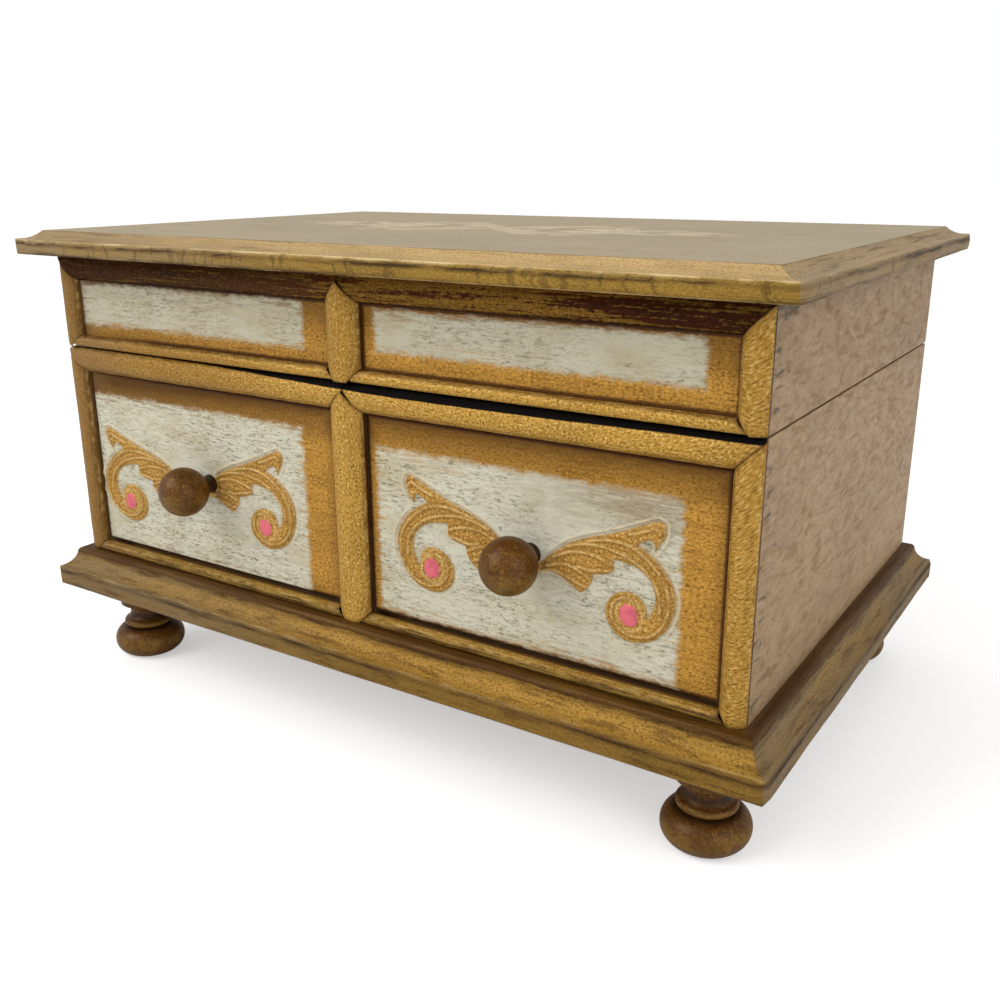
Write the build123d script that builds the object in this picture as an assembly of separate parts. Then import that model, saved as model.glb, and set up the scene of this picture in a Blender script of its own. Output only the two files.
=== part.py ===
from build123d import *
import math
import os

# Musical jewelry box on four turned feet, with two drawers, a tray and a hinged lid.
# Millimetres, Z up from the floor, X to the right and Y to the back.
# Pieces are drawn about the middle of the case and moved by SHIFT_Y when they are written.

# Case and lid
CASE_WIDTH = 200.0
CASE_DEPTH = 130.0
CASE_HEIGHT = 58.9
LID_HEIGHT = 25.0
LID_GAP = 0.5
WALL = 5.0

# Moulded base board
BASE_HEIGHT = 10.8
BASE_FACE = 5.3
BASE_OVERHANG = 7.0
BASE_SIDE_GAIN = 1.0
BASE_STEP = 1.0
BASE_BEAD = 1.4
BASE_EDGE = 0.8
BASE_COVE_SAG = 0.55
BASE_CORNER = 4.0

# Moulded lid slab
SLAB_THICKNESS = 6.0
SLAB_BAND = 3.5
SLAB_BULGE = 0.5
SLAB_OVERHANG = 7.6
SLAB_STEP = 0.3
SLAB_COVE = 5.2
SLAB_COVE_SAG = 0.5
SLAB_CORNER = 4.5

# Turned feet
FOOT_HEIGHT = 23.0
FOOT_RADIUS = 10.0
FOOT_PAD_RADIUS = 6.0
FOOT_BUN_HEIGHT = 8.8
FOOT_WAIST_RADIUS = 5.9
FOOT_RING_RADIUS = 6.9
FOOT_RING_HEIGHT = 2.2
FOOT_NECK_RADIUS = 4.9
FOOT_NECK_HEIGHT = 4.8
FOOT_COLLAR_RADIUS = 7.4
FOOT_INSET = 17.0
DOWEL_RADIUS = 4.0
DOWEL_LENGTH = 8.0

# Applied mouldings of the front
MOULDING_DEPTH = 3.0
MOULDING_SHOULDER = 1.3
MUNTIN_DEPTH = 3.6
STILE_WIDTH = 5.8
MUNTIN_WIDTH = 9.6
TOP_RAIL_WIDTH = 6.4
BOTTOM_RAIL_WIDTH = 3.3
LID_TOP_RAIL_WIDTH = 7.0
LID_BOTTOM_RAIL_WIDTH = 3.8

# Drawers
DRAWER_CLEARANCE = 0.4
DRAWER_FRONT = 6.0
DRAWER_WALL = 3.0
DRAWER_BOTTOM = 2.0
DRAWER_HEADROOM = 1.0
DRAWER_BAY_HEIGHT = 44.2
RUNNER_WIDTH = 8.0
RUNNER_CLEARANCE = 0.3
BAY_BACK_GAP = 1.0

# Knobs
KNOB_RADIUS = 6.35
KNOB_STANDOFF = 9.0
KNOB_STEM_RADIUS = 2.8
KNOB_FOOT_RADIUS = 3.6
KNOB_FOOT_HEIGHT = 0.9
KNOB_BORE_DEPTH = 9.0
KNOB_SCREW_RADIUS = 1.9
KNOB_SCREW_HEAD_RADIUS = 3.6
KNOB_SCREW_HEAD_HEIGHT = 2.2
KNOB_HEIGHT_SHARE = 0.475

# Inner boards and linings
PARTITION_LIP = 0.4
REAR_PARTITION = 3.0
MOVEMENT_BAY_DEPTH = 44.0
TRAY_FLOOR = 3.0
TRAY_LEDGE = 3.0
LINING = 1.2
DRAWER_LINING = 0.8
LINING_REVEAL = 0.5
DIVIDER = 3.0
RING_BAY_WIDTH = 84.0
RING_BAY_DEPTH = 52.0
RING_ROLL_COUNT = 5
RING_ROLL_GAP = 0.4
RING_ROLL_HEIGHT = 9.0
RING_ROLL_SHOULDER = 6.0
RING_ROLL_DRAW = 0.8
RING_ROLL_END = 4.0
SOFT_CLEARANCE = 0.3

# Mirror in the lid
MIRROR_WIDTH = 160.0
MIRROR_DEPTH = 90.0
MIRROR_THICKNESS = 2.5
MIRROR_FRAME_THICKNESS = 4.0
MIRROR_CLEARANCE = 0.2

# Hinges
HINGE_LENGTH = 30.0
HINGE_CENTRE_X = 62.0
HINGE_LEAF = 0.8
HINGE_LEAF_WIDTH = 4.5
HINGE_KNUCKLE_RADIUS = 1.9
HINGE_KNUCKLE_GAP = 0.3
HINGE_WALL_GAP = 0.3
HINGE_LEAF_GAP = 0.1
HINGE_PIN_RADIUS = 0.85
HINGE_PIN_HEAD_RADIUS = 1.4
HINGE_PIN_HEAD = 0.6
HINGE_SCREW_COUNT = 3
HINGE_SCREW_RADIUS = 0.6
HINGE_SCREW_HEAD_RADIUS = 1.2
HINGE_SCREW_LENGTH = 6.0
HINGE_SCREW_INSET = 4.0

# Fits
RUNNING_FIT = 0.05
SNUG_FIT = 0.03

# Movement: bedplate, barrel and key
BARREL_X = 22.0
MOVEMENT_FROM_BACK = 14.0
BED_THICKNESS = 2.0
BED_FOOT_HEIGHT = 3.0
BED_FOOT_RADIUS = 3.0
BED_MARGIN = 1.0
BARREL_RADIUS = 9.2
BARREL_HEIGHT = 8.8
BARREL_WALL = 0.8
BARREL_FLOAT = 0.3
CROWN_TEETH = 30
CROWN_RADIUS = 10.6
CROWN_FACE = 2.2
CROWN_TOOTH_HEIGHT = 1.55
CROWN_ROOT_WIDTH = 1.05
CROWN_TIP_WIDTH = 0.55
SPRING_COILS = 6
SPRING_THICKNESS = 0.3
SPRING_HEIGHT = 6.4
ARBOR_RADIUS = 1.5
ARBOR_HUB_RADIUS = 2.4
KEY_HOLE_RADIUS = 3.4
KEY_COLLAR_RADIUS = 2.8
KEY_COLLAR_LENGTH = 5.0
KEY_BELOW_BASE = 0.8
KEY_WING_SPAN = 22.0
KEY_WING_HEIGHT = 10.0
KEY_WING_THICKNESS = 2.0
KEY_WING_ROUND = 3.5

# Movement: cylinder and comb
PINION_TEETH = 12
PINION_TIP_WIDTH = 0.5
PINION_ROOT_WIDTH = 1.1
MESH_CLEARANCE = 0.2
CYLINDER_RADIUS = 5.0
CYLINDER_LENGTH = 22.5
CYLINDER_ARBOR_RADIUS = 1.0
PIN_HEIGHT = 0.6
PIN_RADIUS = 0.22
PINS_PER_TOOTH = 3
PIN_GOLDEN_TURN = 0.381966
PLATE_THICKNESS = 1.6
PLATE_GAP = 0.4
COMB_TEETH = 18
COMB_LENGTH = 15.0
COMB_HEEL = 5.5
COMB_THICKNESS = 1.2
COMB_SLOT = 0.35
COMB_TIP_GAP = 0.3
COMB_SCREW_RADIUS = 0.9
COMB_SCREW_HEAD_RADIUS = 1.7
COMB_SCREW_HEAD_HEIGHT = 1.1
COMB_SCREW_INSET = 4.0
COMB_SCREW_LENGTH = 6.0
BED_SCREW_RADIUS = 1.2
BED_SCREW_HEAD_RADIUS = 2.2
BED_SCREW_HEAD_HEIGHT = 1.4

# Movement: governor
GEAR_MODULE = 0.4
WHEEL_TEETH = 36
IDLER_TEETH = 9
WHEEL_WIDTH = 1.8
IDLER_ANGLE = 150.0
GEAR_ADDENDUM = 0.8
GEAR_DEDENDUM = 1.2
GEAR_ROOT_SHARE = 0.55
GEAR_TIP_SHARE = 0.20
WORM_WHEEL_TEETH = 16
WORM_WHEEL_RADIUS = 4.0
WORM_WHEEL_WIDTH = 1.8
WORM_STARTS = 2
WORM_RADIUS = 1.6
WORM_CORE_RADIUS = 1.1
WORM_LENGTH = 7.0
WORM_WHEEL_TOOTH_ROOT = 0.72
WORM_WHEEL_TOOTH_TIP = 0.40
WORM_WHEEL_DEDENDUM = 0.48
WORM_WHEEL_ADDENDUM = 0.32
WORM_RIDGE_HEIGHT = 0.28
WORM_RIDGE_ROOT = 0.80
WORM_RIDGE_TIP = 0.40
WORM_RIDGE_SINK = 0.2
WORM_CORE_END = 0.4
FAN_RADIUS = 5.5
FAN_HEIGHT = 6.0
FAN_BLADE = 0.5
FAN_CLEARANCE = 1.4
FAN_SHAFT_RADIUS = 0.6
PIVOT_DEPTH = 1.2
FRAME_ARM_WIDTH = 5.0
FRAME_ARM_THICKNESS = 1.6
FRAME_POST_DEPTH = 3.0
FRAME_POST_GAP = 0.7

# Lid stop for the movement
STOP_ROD_RADIUS = 1.0
STOP_ROD_FROM_BACK = 12.0
STOP_ROD_FROM_SIDE = 11.0
STOP_RISE = 4.0
STOP_GUIDE_WIDTH = 7.0
STOP_GUIDE_HEIGHT = 24.0
STOP_GUIDE_DEPTH = 8.0
STOP_FINGER_THICKNESS = 1.5
STOP_FINGER_WIDTH = 2.0
STOP_FINGER_GAP = 0.5
STRIKER_WIDTH = 8.0
STRIKER_HEIGHT = 7.5
STRIKER_DEPTH = 8.8

# Heights worked out from the sizes above
Z_BASE = FOOT_HEIGHT
Z_CASE = Z_BASE + BASE_HEIGHT
Z_SEAM = Z_CASE + CASE_HEIGHT
Z_LID = Z_SEAM + LID_GAP
Z_SLAB = Z_LID + LID_HEIGHT
Z_TOP = Z_SLAB + SLAB_THICKNESS
Z_TRAY_UNDER = Z_CASE + DRAWER_BAY_HEIGHT
Z_TRAY = Z_TRAY_UNDER + TRAY_FLOOR

# Places worked out from the sizes above
HALF_WIDTH = CASE_WIDTH / 2
HALF_DEPTH = CASE_DEPTH / 2
PANEL_Y = -HALF_DEPTH + MOULDING_DEPTH
BACK_Y = HALF_DEPTH - WALL
INNER_X = HALF_WIDTH - WALL
FRONT_REACH = -PANEL_Y + KNOB_STANDOFF + KNOB_RADIUS
BACK_REACH = HALF_DEPTH + max(BASE_OVERHANG, SLAB_OVERHANG)
SHIFT_Y = (FRONT_REACH - BACK_REACH) / 2
DRAWER_IN_X = MUNTIN_WIDTH / 2 + DRAWER_CLEARANCE
DRAWER_OUT_X = HALF_WIDTH - STILE_WIDTH - DRAWER_CLEARANCE
Z_DRAWER = Z_CASE + BOTTOM_RAIL_WIDTH + RUNNER_CLEARANCE
Z_DRAWER_TOP = Z_SEAM - TOP_RAIL_WIDTH - DRAWER_CLEARANCE
Z_DRAWER_RIM = Z_TRAY_UNDER - DRAWER_HEADROOM
REAR_PARTITION_Y = BACK_Y - MOVEMENT_BAY_DEPTH - REAR_PARTITION
DRAWER_BACK_Y = REAR_PARTITION_Y - BAY_BACK_GAP
TRAY_FRONT_Y = PANEL_Y + DRAWER_FRONT + BAY_BACK_GAP / 2 + TRAY_LEDGE
HINGE_Y = HALF_DEPTH + HINGE_WALL_GAP + HINGE_KNUCKLE_RADIUS
HINGE_Z = Z_SEAM + LID_GAP / 2

# Places in the movement
MOVEMENT_Y = BACK_Y - MOVEMENT_FROM_BACK
Z_BED = Z_CASE + BED_FOOT_HEIGHT + BED_THICKNESS
Z_BARREL = Z_BED + BARREL_FLOAT
Z_CROWN = Z_BARREL + BARREL_HEIGHT
CROWN_MODULE = 2 * CROWN_RADIUS / CROWN_TEETH
PINION_RADIUS = CROWN_MODULE * PINION_TEETH / 2
CROWN_PITCH_HEIGHT = CROWN_TOOTH_HEIGHT / 2
Z_AXIS = Z_CROWN + CROWN_PITCH_HEIGHT + PINION_RADIUS
PINION_X = BARREL_X + CROWN_RADIUS
INNER_PLATE_X = PINION_X + CROWN_FACE / 2 + PLATE_GAP
CYLINDER_X = INNER_PLATE_X + PLATE_THICKNESS + PLATE_GAP
WHEEL_X = CYLINDER_X + CYLINDER_LENGTH + PLATE_GAP
OUTER_PLATE_X = WHEEL_X + WHEEL_WIDTH + PLATE_GAP
WORM_WHEEL_X = OUTER_PLATE_X + PLATE_THICKNESS + FRAME_ARM_WIDTH / 2 - WORM_WHEEL_WIDTH / 2 + PLATE_GAP
END_PLATE_X = OUTER_PLATE_X + PLATE_THICKNESS + FRAME_ARM_WIDTH + 2 * PLATE_GAP
IDLER_DISTANCE = GEAR_MODULE * (WHEEL_TEETH + IDLER_TEETH) / 2
IDLER_Y = MOVEMENT_Y + IDLER_DISTANCE * math.cos(math.radians(IDLER_ANGLE))
IDLER_Z = Z_AXIS + IDLER_DISTANCE * math.sin(math.radians(IDLER_ANGLE))
WORM_X = WORM_WHEEL_X + WORM_WHEEL_WIDTH / 2
WORM_Y = IDLER_Y - WORM_WHEEL_RADIUS - WORM_RADIUS
WORM_PITCH = 2 * math.pi * WORM_WHEEL_RADIUS / WORM_WHEEL_TEETH
Z_FAN = IDLER_Z + WORM_WHEEL_RADIUS + FAN_CLEARANCE
Z_FAN_TOP = Z_FAN + FAN_HEIGHT
STOP_ROD_X = INNER_X - STOP_ROD_FROM_SIDE
STOP_ROD_Y = HALF_DEPTH - STOP_ROD_FROM_BACK
POST_FRONT_Y = WORM_Y - FAN_RADIUS - FRAME_POST_GAP - FRAME_POST_DEPTH
COMB_TIP_Y = MOVEMENT_Y - CYLINDER_RADIUS - PIN_HEIGHT - COMB_TIP_GAP
BED_X = (
    BARREL_X - CROWN_RADIUS - CROWN_FACE / 2 - BED_MARGIN,
    END_PLATE_X + PLATE_THICKNESS + BED_MARGIN,
)
BED_Y = (
    min(POST_FRONT_Y, COMB_TIP_Y - COMB_LENGTH) - BED_MARGIN,
    MOVEMENT_Y + CROWN_RADIUS + CROWN_FACE / 2 + BED_MARGIN,
)


def span_box(x, y, z):
    """Box between two corners, each argument a pair of low and high."""
    size = Box(x[1] - x[0], y[1] - y[0], z[1] - z[0])
    return Pos((x[0] + x[1]) / 2, (y[0] + y[1]) / 2, (z[0] + z[1]) / 2) * size


def upright(radius, z, x, y):
    """Round bar standing at x, y between two heights."""
    return Pos(x, y, (z[0] + z[1]) / 2) * Cylinder(radius, z[1] - z[0])


def level(radius, x, y, z):
    """Round bar lying along X between two places."""
    bar = Rot(0, 90, 0) * Cylinder(radius, x[1] - x[0])
    return Pos((x[0] + x[1]) / 2, y, z) * bar


def joined(pieces):
    """All pieces fused into one."""
    result = pieces[0]
    for piece in pieces[1:]:
        result = result + piece
    return result


def symmetric_face(half):
    """Closed face from the right half of an outline that starts and ends on the middle line."""
    curve = Curve() + half
    return make_face(curve + mirror(curve, Plane.YZ))


def crossed_mouldings(width, depth, half_outline, corner):
    """Board with one moulding on its four edges: two crossed prisms meet in mitres."""
    along_y = extrude(Plane.XZ * symmetric_face(half_outline(width / 2)), depth, both=True)
    along_x = extrude(Plane.YZ * symmetric_face(half_outline(depth / 2)), width, both=True)
    plan = extrude(RectangleRounded(width, depth, corner), Z_TOP, both=True)
    return along_y & along_x & plan


def base_outline(half):
    """Half of the base board's section: flat face, cove, then a bead under the case."""
    foot = (half - BASE_EDGE, 0)
    low = (half, BASE_EDGE)
    high = (half, BASE_FACE - BASE_EDGE)
    arris = (half - BASE_EDGE, BASE_FACE)
    bead_x = half - BASE_OVERHANG + BASE_STEP + BASE_BEAD
    bead = (bead_x, BASE_HEIGHT - BASE_BEAD)
    middle = ((arris[0] + bead[0]) / 2 - BASE_COVE_SAG, (arris[1] + bead[1]) / 2 - BASE_COVE_SAG)
    turn = BASE_BEAD * math.sqrt(0.5)
    crown = (bead_x - BASE_BEAD + turn, BASE_HEIGHT - BASE_BEAD + turn)
    top = (bead_x - BASE_BEAD, BASE_HEIGHT)
    return [
        Line((0, 0), foot),
        Line(foot, low),
        Line(low, high),
        Line(high, arris),
        ThreePointArc(arris, middle, bead),
        ThreePointArc(bead, crown, top),
        Line(top, (0, BASE_HEIGHT)),
    ]


def slab_outline(half):
    """Half of the lid slab's section: rounded band, small step, then a cove up to the flat top."""
    under = (half - SLAB_BULGE, 0)
    nose = (half, SLAB_BAND / 2)
    over = (half - SLAB_BULGE, SLAB_BAND)
    step = (half - SLAB_BULGE - SLAB_STEP, SLAB_BAND)
    top = (step[0] - SLAB_COVE, SLAB_THICKNESS)
    middle = ((step[0] + top[0]) / 2 - SLAB_COVE_SAG, (step[1] + top[1]) / 2 - SLAB_COVE_SAG)
    return [
        Line((0, 0), under),
        ThreePointArc(under, nose, over),
        Line(over, step),
        ThreePointArc(step, middle, top),
        Line(top, (0, SLAB_THICKNESS)),
    ]


def foot_places():
    """Middles of the four feet, each with the name of its corner."""
    x = HALF_WIDTH + BASE_OVERHANG - FOOT_INSET
    y = HALF_DEPTH + BASE_OVERHANG - FOOT_INSET
    return {
        "front_left": (-x, -y),
        "front_right": (x, -y),
        "back_left": (-x, y),
        "back_right": (x, y),
    }


def foot(x, y):
    """Turned bun foot with a ring, a neck, a collar and the dowel that holds it."""
    waist = (FOOT_WAIST_RADIUS, FOOT_BUN_HEIGHT)
    ring_middle = (FOOT_RING_RADIUS, FOOT_BUN_HEIGHT + FOOT_RING_HEIGHT / 2)
    ring_top = (FOOT_WAIST_RADIUS, FOOT_BUN_HEIGHT + FOOT_RING_HEIGHT)
    neck = (FOOT_NECK_RADIUS, ring_top[1] + FOOT_NECK_HEIGHT * 2 / 5)
    flare = (FOOT_COLLAR_RADIUS, ring_top[1] + FOOT_NECK_HEIGHT)
    collar = (FOOT_COLLAR_RADIUS, FOOT_HEIGHT)
    dowel_top = FOOT_HEIGHT + DOWEL_LENGTH
    outline = Curve() + [
        Line((0, 0), (FOOT_PAD_RADIUS, 0)),
        ThreePointArc((FOOT_PAD_RADIUS, 0), (FOOT_RADIUS, FOOT_BUN_HEIGHT / 2), waist),
        ThreePointArc(waist, ring_middle, ring_top),
        ThreePointArc(ring_top, neck, flare),
        Line(flare, collar),
        Line(collar, (DOWEL_RADIUS, FOOT_HEIGHT)),
        Line((DOWEL_RADIUS, FOOT_HEIGHT), (DOWEL_RADIUS, dowel_top)),
        Line((DOWEL_RADIUS, dowel_top), (0, dowel_top)),
        Line((0, dowel_top), (0, 0)),
    ]
    return Pos(x, y, 0) * revolve(Plane.XZ * make_face(outline), Axis.Z)


def bed_foot_places():
    """Middles of the bedplate's three feet, where its screws come up through the base."""
    left = BED_X[0] + 2 * BED_FOOT_RADIUS
    right = BED_X[1] - BED_FOOT_RADIUS
    front = BED_Y[0] + BED_FOOT_RADIUS
    back = BED_Y[1] - BED_FOOT_RADIUS
    return [(left, front), (right, front), (right, back)]


def base_board():
    """Moulded board under the case, with holes for the dowels, the key and the movement's screws."""
    board = crossed_mouldings(
        CASE_WIDTH + 2 * (BASE_OVERHANG + BASE_SIDE_GAIN),
        CASE_DEPTH + 2 * BASE_OVERHANG,
        base_outline,
        BASE_CORNER,
    )
    board = Pos(0, 0, Z_BASE) * board
    for x, y in foot_places().values():
        board -= upright(DOWEL_RADIUS + SNUG_FIT, (Z_BASE, Z_BASE + DOWEL_LENGTH + SNUG_FIT), x, y)
    board -= upright(KEY_HOLE_RADIUS, (Z_BASE, Z_CASE), BARREL_X, MOVEMENT_Y)
    for x, y in bed_foot_places():
        board -= upright(BED_SCREW_RADIUS + SNUG_FIT, (Z_BASE, Z_CASE), x, y)
        head_top = Z_BASE + BED_SCREW_HEAD_HEIGHT + SNUG_FIT
        board -= upright(BED_SCREW_HEAD_RADIUS + SNUG_FIT, (Z_BASE, head_top), x, y)
    return board


def hinge_x(side):
    """Low and high X of the hinge on one side."""
    return (side * HINGE_CENTRE_X - HINGE_LENGTH / 2, side * HINGE_CENTRE_X + HINGE_LENGTH / 2)


def hinge_leaf_y():
    """Low and high Y of a leaf on the edge of its board."""
    return (HALF_DEPTH - HINGE_LEAF_WIDTH, HALF_DEPTH)


def case_leaf_z():
    """Low and high Z of the leaf let into the case."""
    high = HINGE_Z - HINGE_LEAF_GAP / 2
    return (high - HINGE_LEAF, high)


def lid_leaf_z():
    """Low and high Z of the leaf let into the lid."""
    low = HINGE_Z + HINGE_LEAF_GAP / 2
    return (low, low + HINGE_LEAF)


def hinge_screw_places():
    """X and Y of every hinge screw."""
    places = []
    run = HINGE_LENGTH - 2 * HINGE_SCREW_INSET
    y = HALF_DEPTH - HINGE_LEAF_WIDTH / 2
    for side in (-1, 1):
        start = hinge_x(side)[0] + HINGE_SCREW_INSET
        for index in range(HINGE_SCREW_COUNT):
            places.append((start + run * index / (HINGE_SCREW_COUNT - 1), y))
    return places


def mortised(board, leaf_z, board_edge, face_z, direction):
    """Board with the seats of both leaves and the holes of their screws cut."""
    fit = SNUG_FIT
    y = hinge_leaf_y()
    for side in (-1, 1):
        x = hinge_x(side)
        seat = (min(leaf_z[0] - fit, board_edge), max(leaf_z[1] + fit, board_edge))
        board -= span_box((x[0] - fit, x[1] + fit), (y[0] - fit, y[1] + fit), seat)
    for x, y_screw in hinge_screw_places():
        board -= hinge_screw(x, y_screw, face_z, direction, fit)
    return board


def side_boards(z):
    """Left and right wall boards between two heights."""
    boards = []
    for side in (-1, 1):
        x = sorted((side * INNER_X, side * HALF_WIDTH))
        boards.append(span_box(x, (PANEL_Y, HALF_DEPTH), z))
    return boards


def back_wall():
    """Back board of the case with the hinge seats in its top edge."""
    board = span_box((-INNER_X, INNER_X), (BACK_Y, HALF_DEPTH), (Z_CASE, Z_SEAM))
    return mortised(board, case_leaf_z(), Z_SEAM, case_leaf_z()[1], -1)


def front_rail():
    """Board above the drawers, with the ledge that carries the tray's front."""
    rail = span_box((-INNER_X, INNER_X), (PANEL_Y, TRAY_FRONT_Y), (Z_SEAM - TOP_RAIL_WIDTH, Z_SEAM))
    ledge_y = (TRAY_FRONT_Y - TRAY_LEDGE, TRAY_FRONT_Y)
    return rail + span_box((-INNER_X, INNER_X), ledge_y, (Z_TRAY_UNDER, Z_SEAM - TOP_RAIL_WIDTH))


def partition_half():
    """Half of the centre partition's thickness."""
    return MUNTIN_WIDTH / 2 - PARTITION_LIP


def centre_partition():
    """Upright between the drawers, with a nose that reaches the rail above."""
    half = partition_half()
    main = span_box((-half, half), (PANEL_Y, REAR_PARTITION_Y), (Z_CASE, Z_TRAY_UNDER))
    nose_y = (PANEL_Y, TRAY_FRONT_Y - TRAY_LEDGE)
    return main + span_box((-half, half), nose_y, (Z_TRAY_UNDER, Z_SEAM - TOP_RAIL_WIDTH))


def rear_partition():
    """Board between the drawers and the movement."""
    y = (REAR_PARTITION_Y, REAR_PARTITION_Y + REAR_PARTITION)
    return span_box((-INNER_X, INNER_X), y, (Z_CASE, Z_TRAY_UNDER))


def drawer_runners():
    """Two strips under each drawer."""
    strips = []
    z = (Z_CASE, Z_DRAWER - RUNNER_CLEARANCE)
    y = (PANEL_Y + DRAWER_FRONT, REAR_PARTITION_Y)
    for side in (-1, 1):
        inner = sorted((side * partition_half(), side * (partition_half() + RUNNER_WIDTH)))
        outer = sorted((side * INNER_X, side * (INNER_X - RUNNER_WIDTH)))
        strips.append(span_box(inner, y, z))
        strips.append(span_box(outer, y, z))
    return strips


def bar_face(width, depth):
    """Section of an applied moulding: low shoulders and a rounded face."""
    half = width / 2
    outline = Curve() + [
        Line((-half, 0), (half, 0)),
        Line((half, 0), (half, MOULDING_SHOULDER)),
        ThreePointArc((half, MOULDING_SHOULDER), (0, depth), (-half, MOULDING_SHOULDER)),
        Line((-half, MOULDING_SHOULDER), (-half, 0)),
    ]
    return make_face(outline)


def upright_bar(x, width, depth, z):
    """Moulding on the front that runs up, centred on x."""
    plane = Plane(origin=(x, PANEL_Y, z[0]), x_dir=(-1, 0, 0), z_dir=(0, 0, 1))
    return extrude(plane * bar_face(width, depth), z[1] - z[0])


def level_bar(x, z_middle, width, depth):
    """Moulding on the front that runs across, centred on a height."""
    plane = Plane(origin=(x[0], PANEL_Y, z_middle), x_dir=(0, 0, 1), z_dir=(1, 0, 0))
    return extrude(plane * bar_face(width, depth), x[1] - x[0])


def trimmed(bar, corners):
    """Part of a bar inside an outline of X and Z corners, which gives it its mitres."""
    mask = make_face(Polyline(*corners, close=True))
    return bar & extrude(Plane.XZ * mask, CASE_DEPTH, both=True)


def front_frame(z_low, z_high, low_width, high_width):
    """Mitred mouldings round the two openings of a front: stiles, muntin, low and high rails."""
    inner = HALF_WIDTH - STILE_WIDTH
    half = MUNTIN_WIDTH / 2
    low = z_low + low_width
    high = z_high - high_width
    z = (z_low, z_high)
    stiles = []
    low_rails = []
    high_rails = []
    for side in (-1, 1):
        x = sorted((0, side * HALF_WIDTH))
        stile = upright_bar(side * (HALF_WIDTH - STILE_WIDTH / 2), STILE_WIDTH, MOULDING_DEPTH, z)
        outer_low = (side * HALF_WIDTH, z_low)
        outer_high = (side * HALF_WIDTH, z_high)
        inner_low = (side * inner, low)
        inner_high = (side * inner, high)
        stiles.append(trimmed(stile, [outer_low, inner_low, inner_high, outer_high]))
        low_bar = level_bar(x, (z_low + low) / 2, low_width, MOULDING_DEPTH)
        low_rails.append(trimmed(low_bar, [(0, z_low), outer_low, inner_low, (side * half, low)]))
        high_bar = level_bar(x, (z_high + high) / 2, high_width, MOULDING_DEPTH)
        high_rails.append(trimmed(high_bar, [(0, z_high), outer_high, inner_high, (side * half, high)]))
    muntin_bar = upright_bar(0, MUNTIN_WIDTH, MUNTIN_DEPTH, z)
    ends = [(0, z_low), (half, low), (half, high), (0, z_high), (-half, high), (-half, low)]
    return stiles, trimmed(muntin_bar, ends), low_rails, high_rails


def sill(side):
    """Strip behind the bottom moulding that closes the bay under a drawer's front."""
    x = sorted((side * partition_half(), side * INNER_X))
    return span_box(x, (PANEL_Y, PANEL_Y + DRAWER_FRONT), (Z_CASE, Z_CASE + BOTTOM_RAIL_WIDTH))


def drawer_x(side, inset=0.0):
    """Low and high X of a drawer, drawn in by an inset."""
    return sorted((side * (DRAWER_IN_X + inset), side * (DRAWER_OUT_X - inset)))


def knob_place(side):
    """X and Z of a drawer's knob."""
    x = side * (DRAWER_IN_X + DRAWER_OUT_X) / 2
    z = Z_DRAWER + (Z_DRAWER_TOP - Z_DRAWER) * KNOB_HEIGHT_SHARE
    return x, z


def facing_front(shape, side):
    """Shape drawn about Z moved to a knob's place, its Z turned to the front."""
    x, z = knob_place(side)
    return Pos(x, PANEL_Y, z) * Rot(90, 0, 0) * shape


def drawer_front(side):
    """Front board of a drawer with the hole of the knob's screw."""
    board = span_box(drawer_x(side), (PANEL_Y, PANEL_Y + DRAWER_FRONT), (Z_DRAWER, Z_DRAWER_TOP))
    hole = Pos(0, 0, -DRAWER_FRONT / 2) * Cylinder(KNOB_SCREW_RADIUS + RUNNING_FIT, DRAWER_FRONT)
    return board - facing_front(hole, side)


def drawer_box(side):
    """Bottom, two sides and back of a drawer, each its own board."""
    x = drawer_x(side)
    y = (PANEL_Y + DRAWER_FRONT, DRAWER_BACK_Y)
    floor_z = Z_DRAWER + DRAWER_BOTTOM
    z = (floor_z, Z_DRAWER_RIM)
    return [
        span_box(x, y, (Z_DRAWER, floor_z)),
        span_box((x[0], x[0] + DRAWER_WALL), y, z),
        span_box((x[1] - DRAWER_WALL, x[1]), y, z),
        span_box((x[0] + DRAWER_WALL, x[1] - DRAWER_WALL), (y[1] - DRAWER_WALL, y[1]), z),
    ]


def drawer_lining(side):
    """Open velvet box inside a drawer, cut away round the head of the knob's screw."""
    x = drawer_x(side, DRAWER_WALL)
    y = (PANEL_Y + DRAWER_FRONT, DRAWER_BACK_Y - DRAWER_WALL)
    floor_z = Z_DRAWER + DRAWER_BOTTOM
    rim = Z_DRAWER_RIM - LINING_REVEAL
    outer = span_box(x, y, (floor_z, rim))
    t = DRAWER_LINING
    inner = span_box((x[0] + t, x[1] - t), (y[0] + t, y[1] - t), (floor_z + t, rim))
    head = Pos(0, 0, -DRAWER_FRONT - t) * Cylinder(KNOB_SCREW_HEAD_RADIUS + RUNNING_FIT, 2 * t)
    return outer - inner - facing_front(head, side)


def knob(side):
    """Ball knob on a short stem, bored for its screw."""
    ball = Pos(0, 0, KNOB_STANDOFF) * Sphere(KNOB_RADIUS)
    stem = Pos(0, 0, KNOB_STANDOFF / 2) * Cylinder(KNOB_STEM_RADIUS, KNOB_STANDOFF)
    plate = Pos(0, 0, KNOB_FOOT_HEIGHT / 2) * Cylinder(KNOB_FOOT_RADIUS, KNOB_FOOT_HEIGHT)
    bore = Pos(0, 0, KNOB_BORE_DEPTH / 2) * Cylinder(KNOB_SCREW_RADIUS + SNUG_FIT, KNOB_BORE_DEPTH)
    return facing_front(ball + stem + plate - bore, side)


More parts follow.
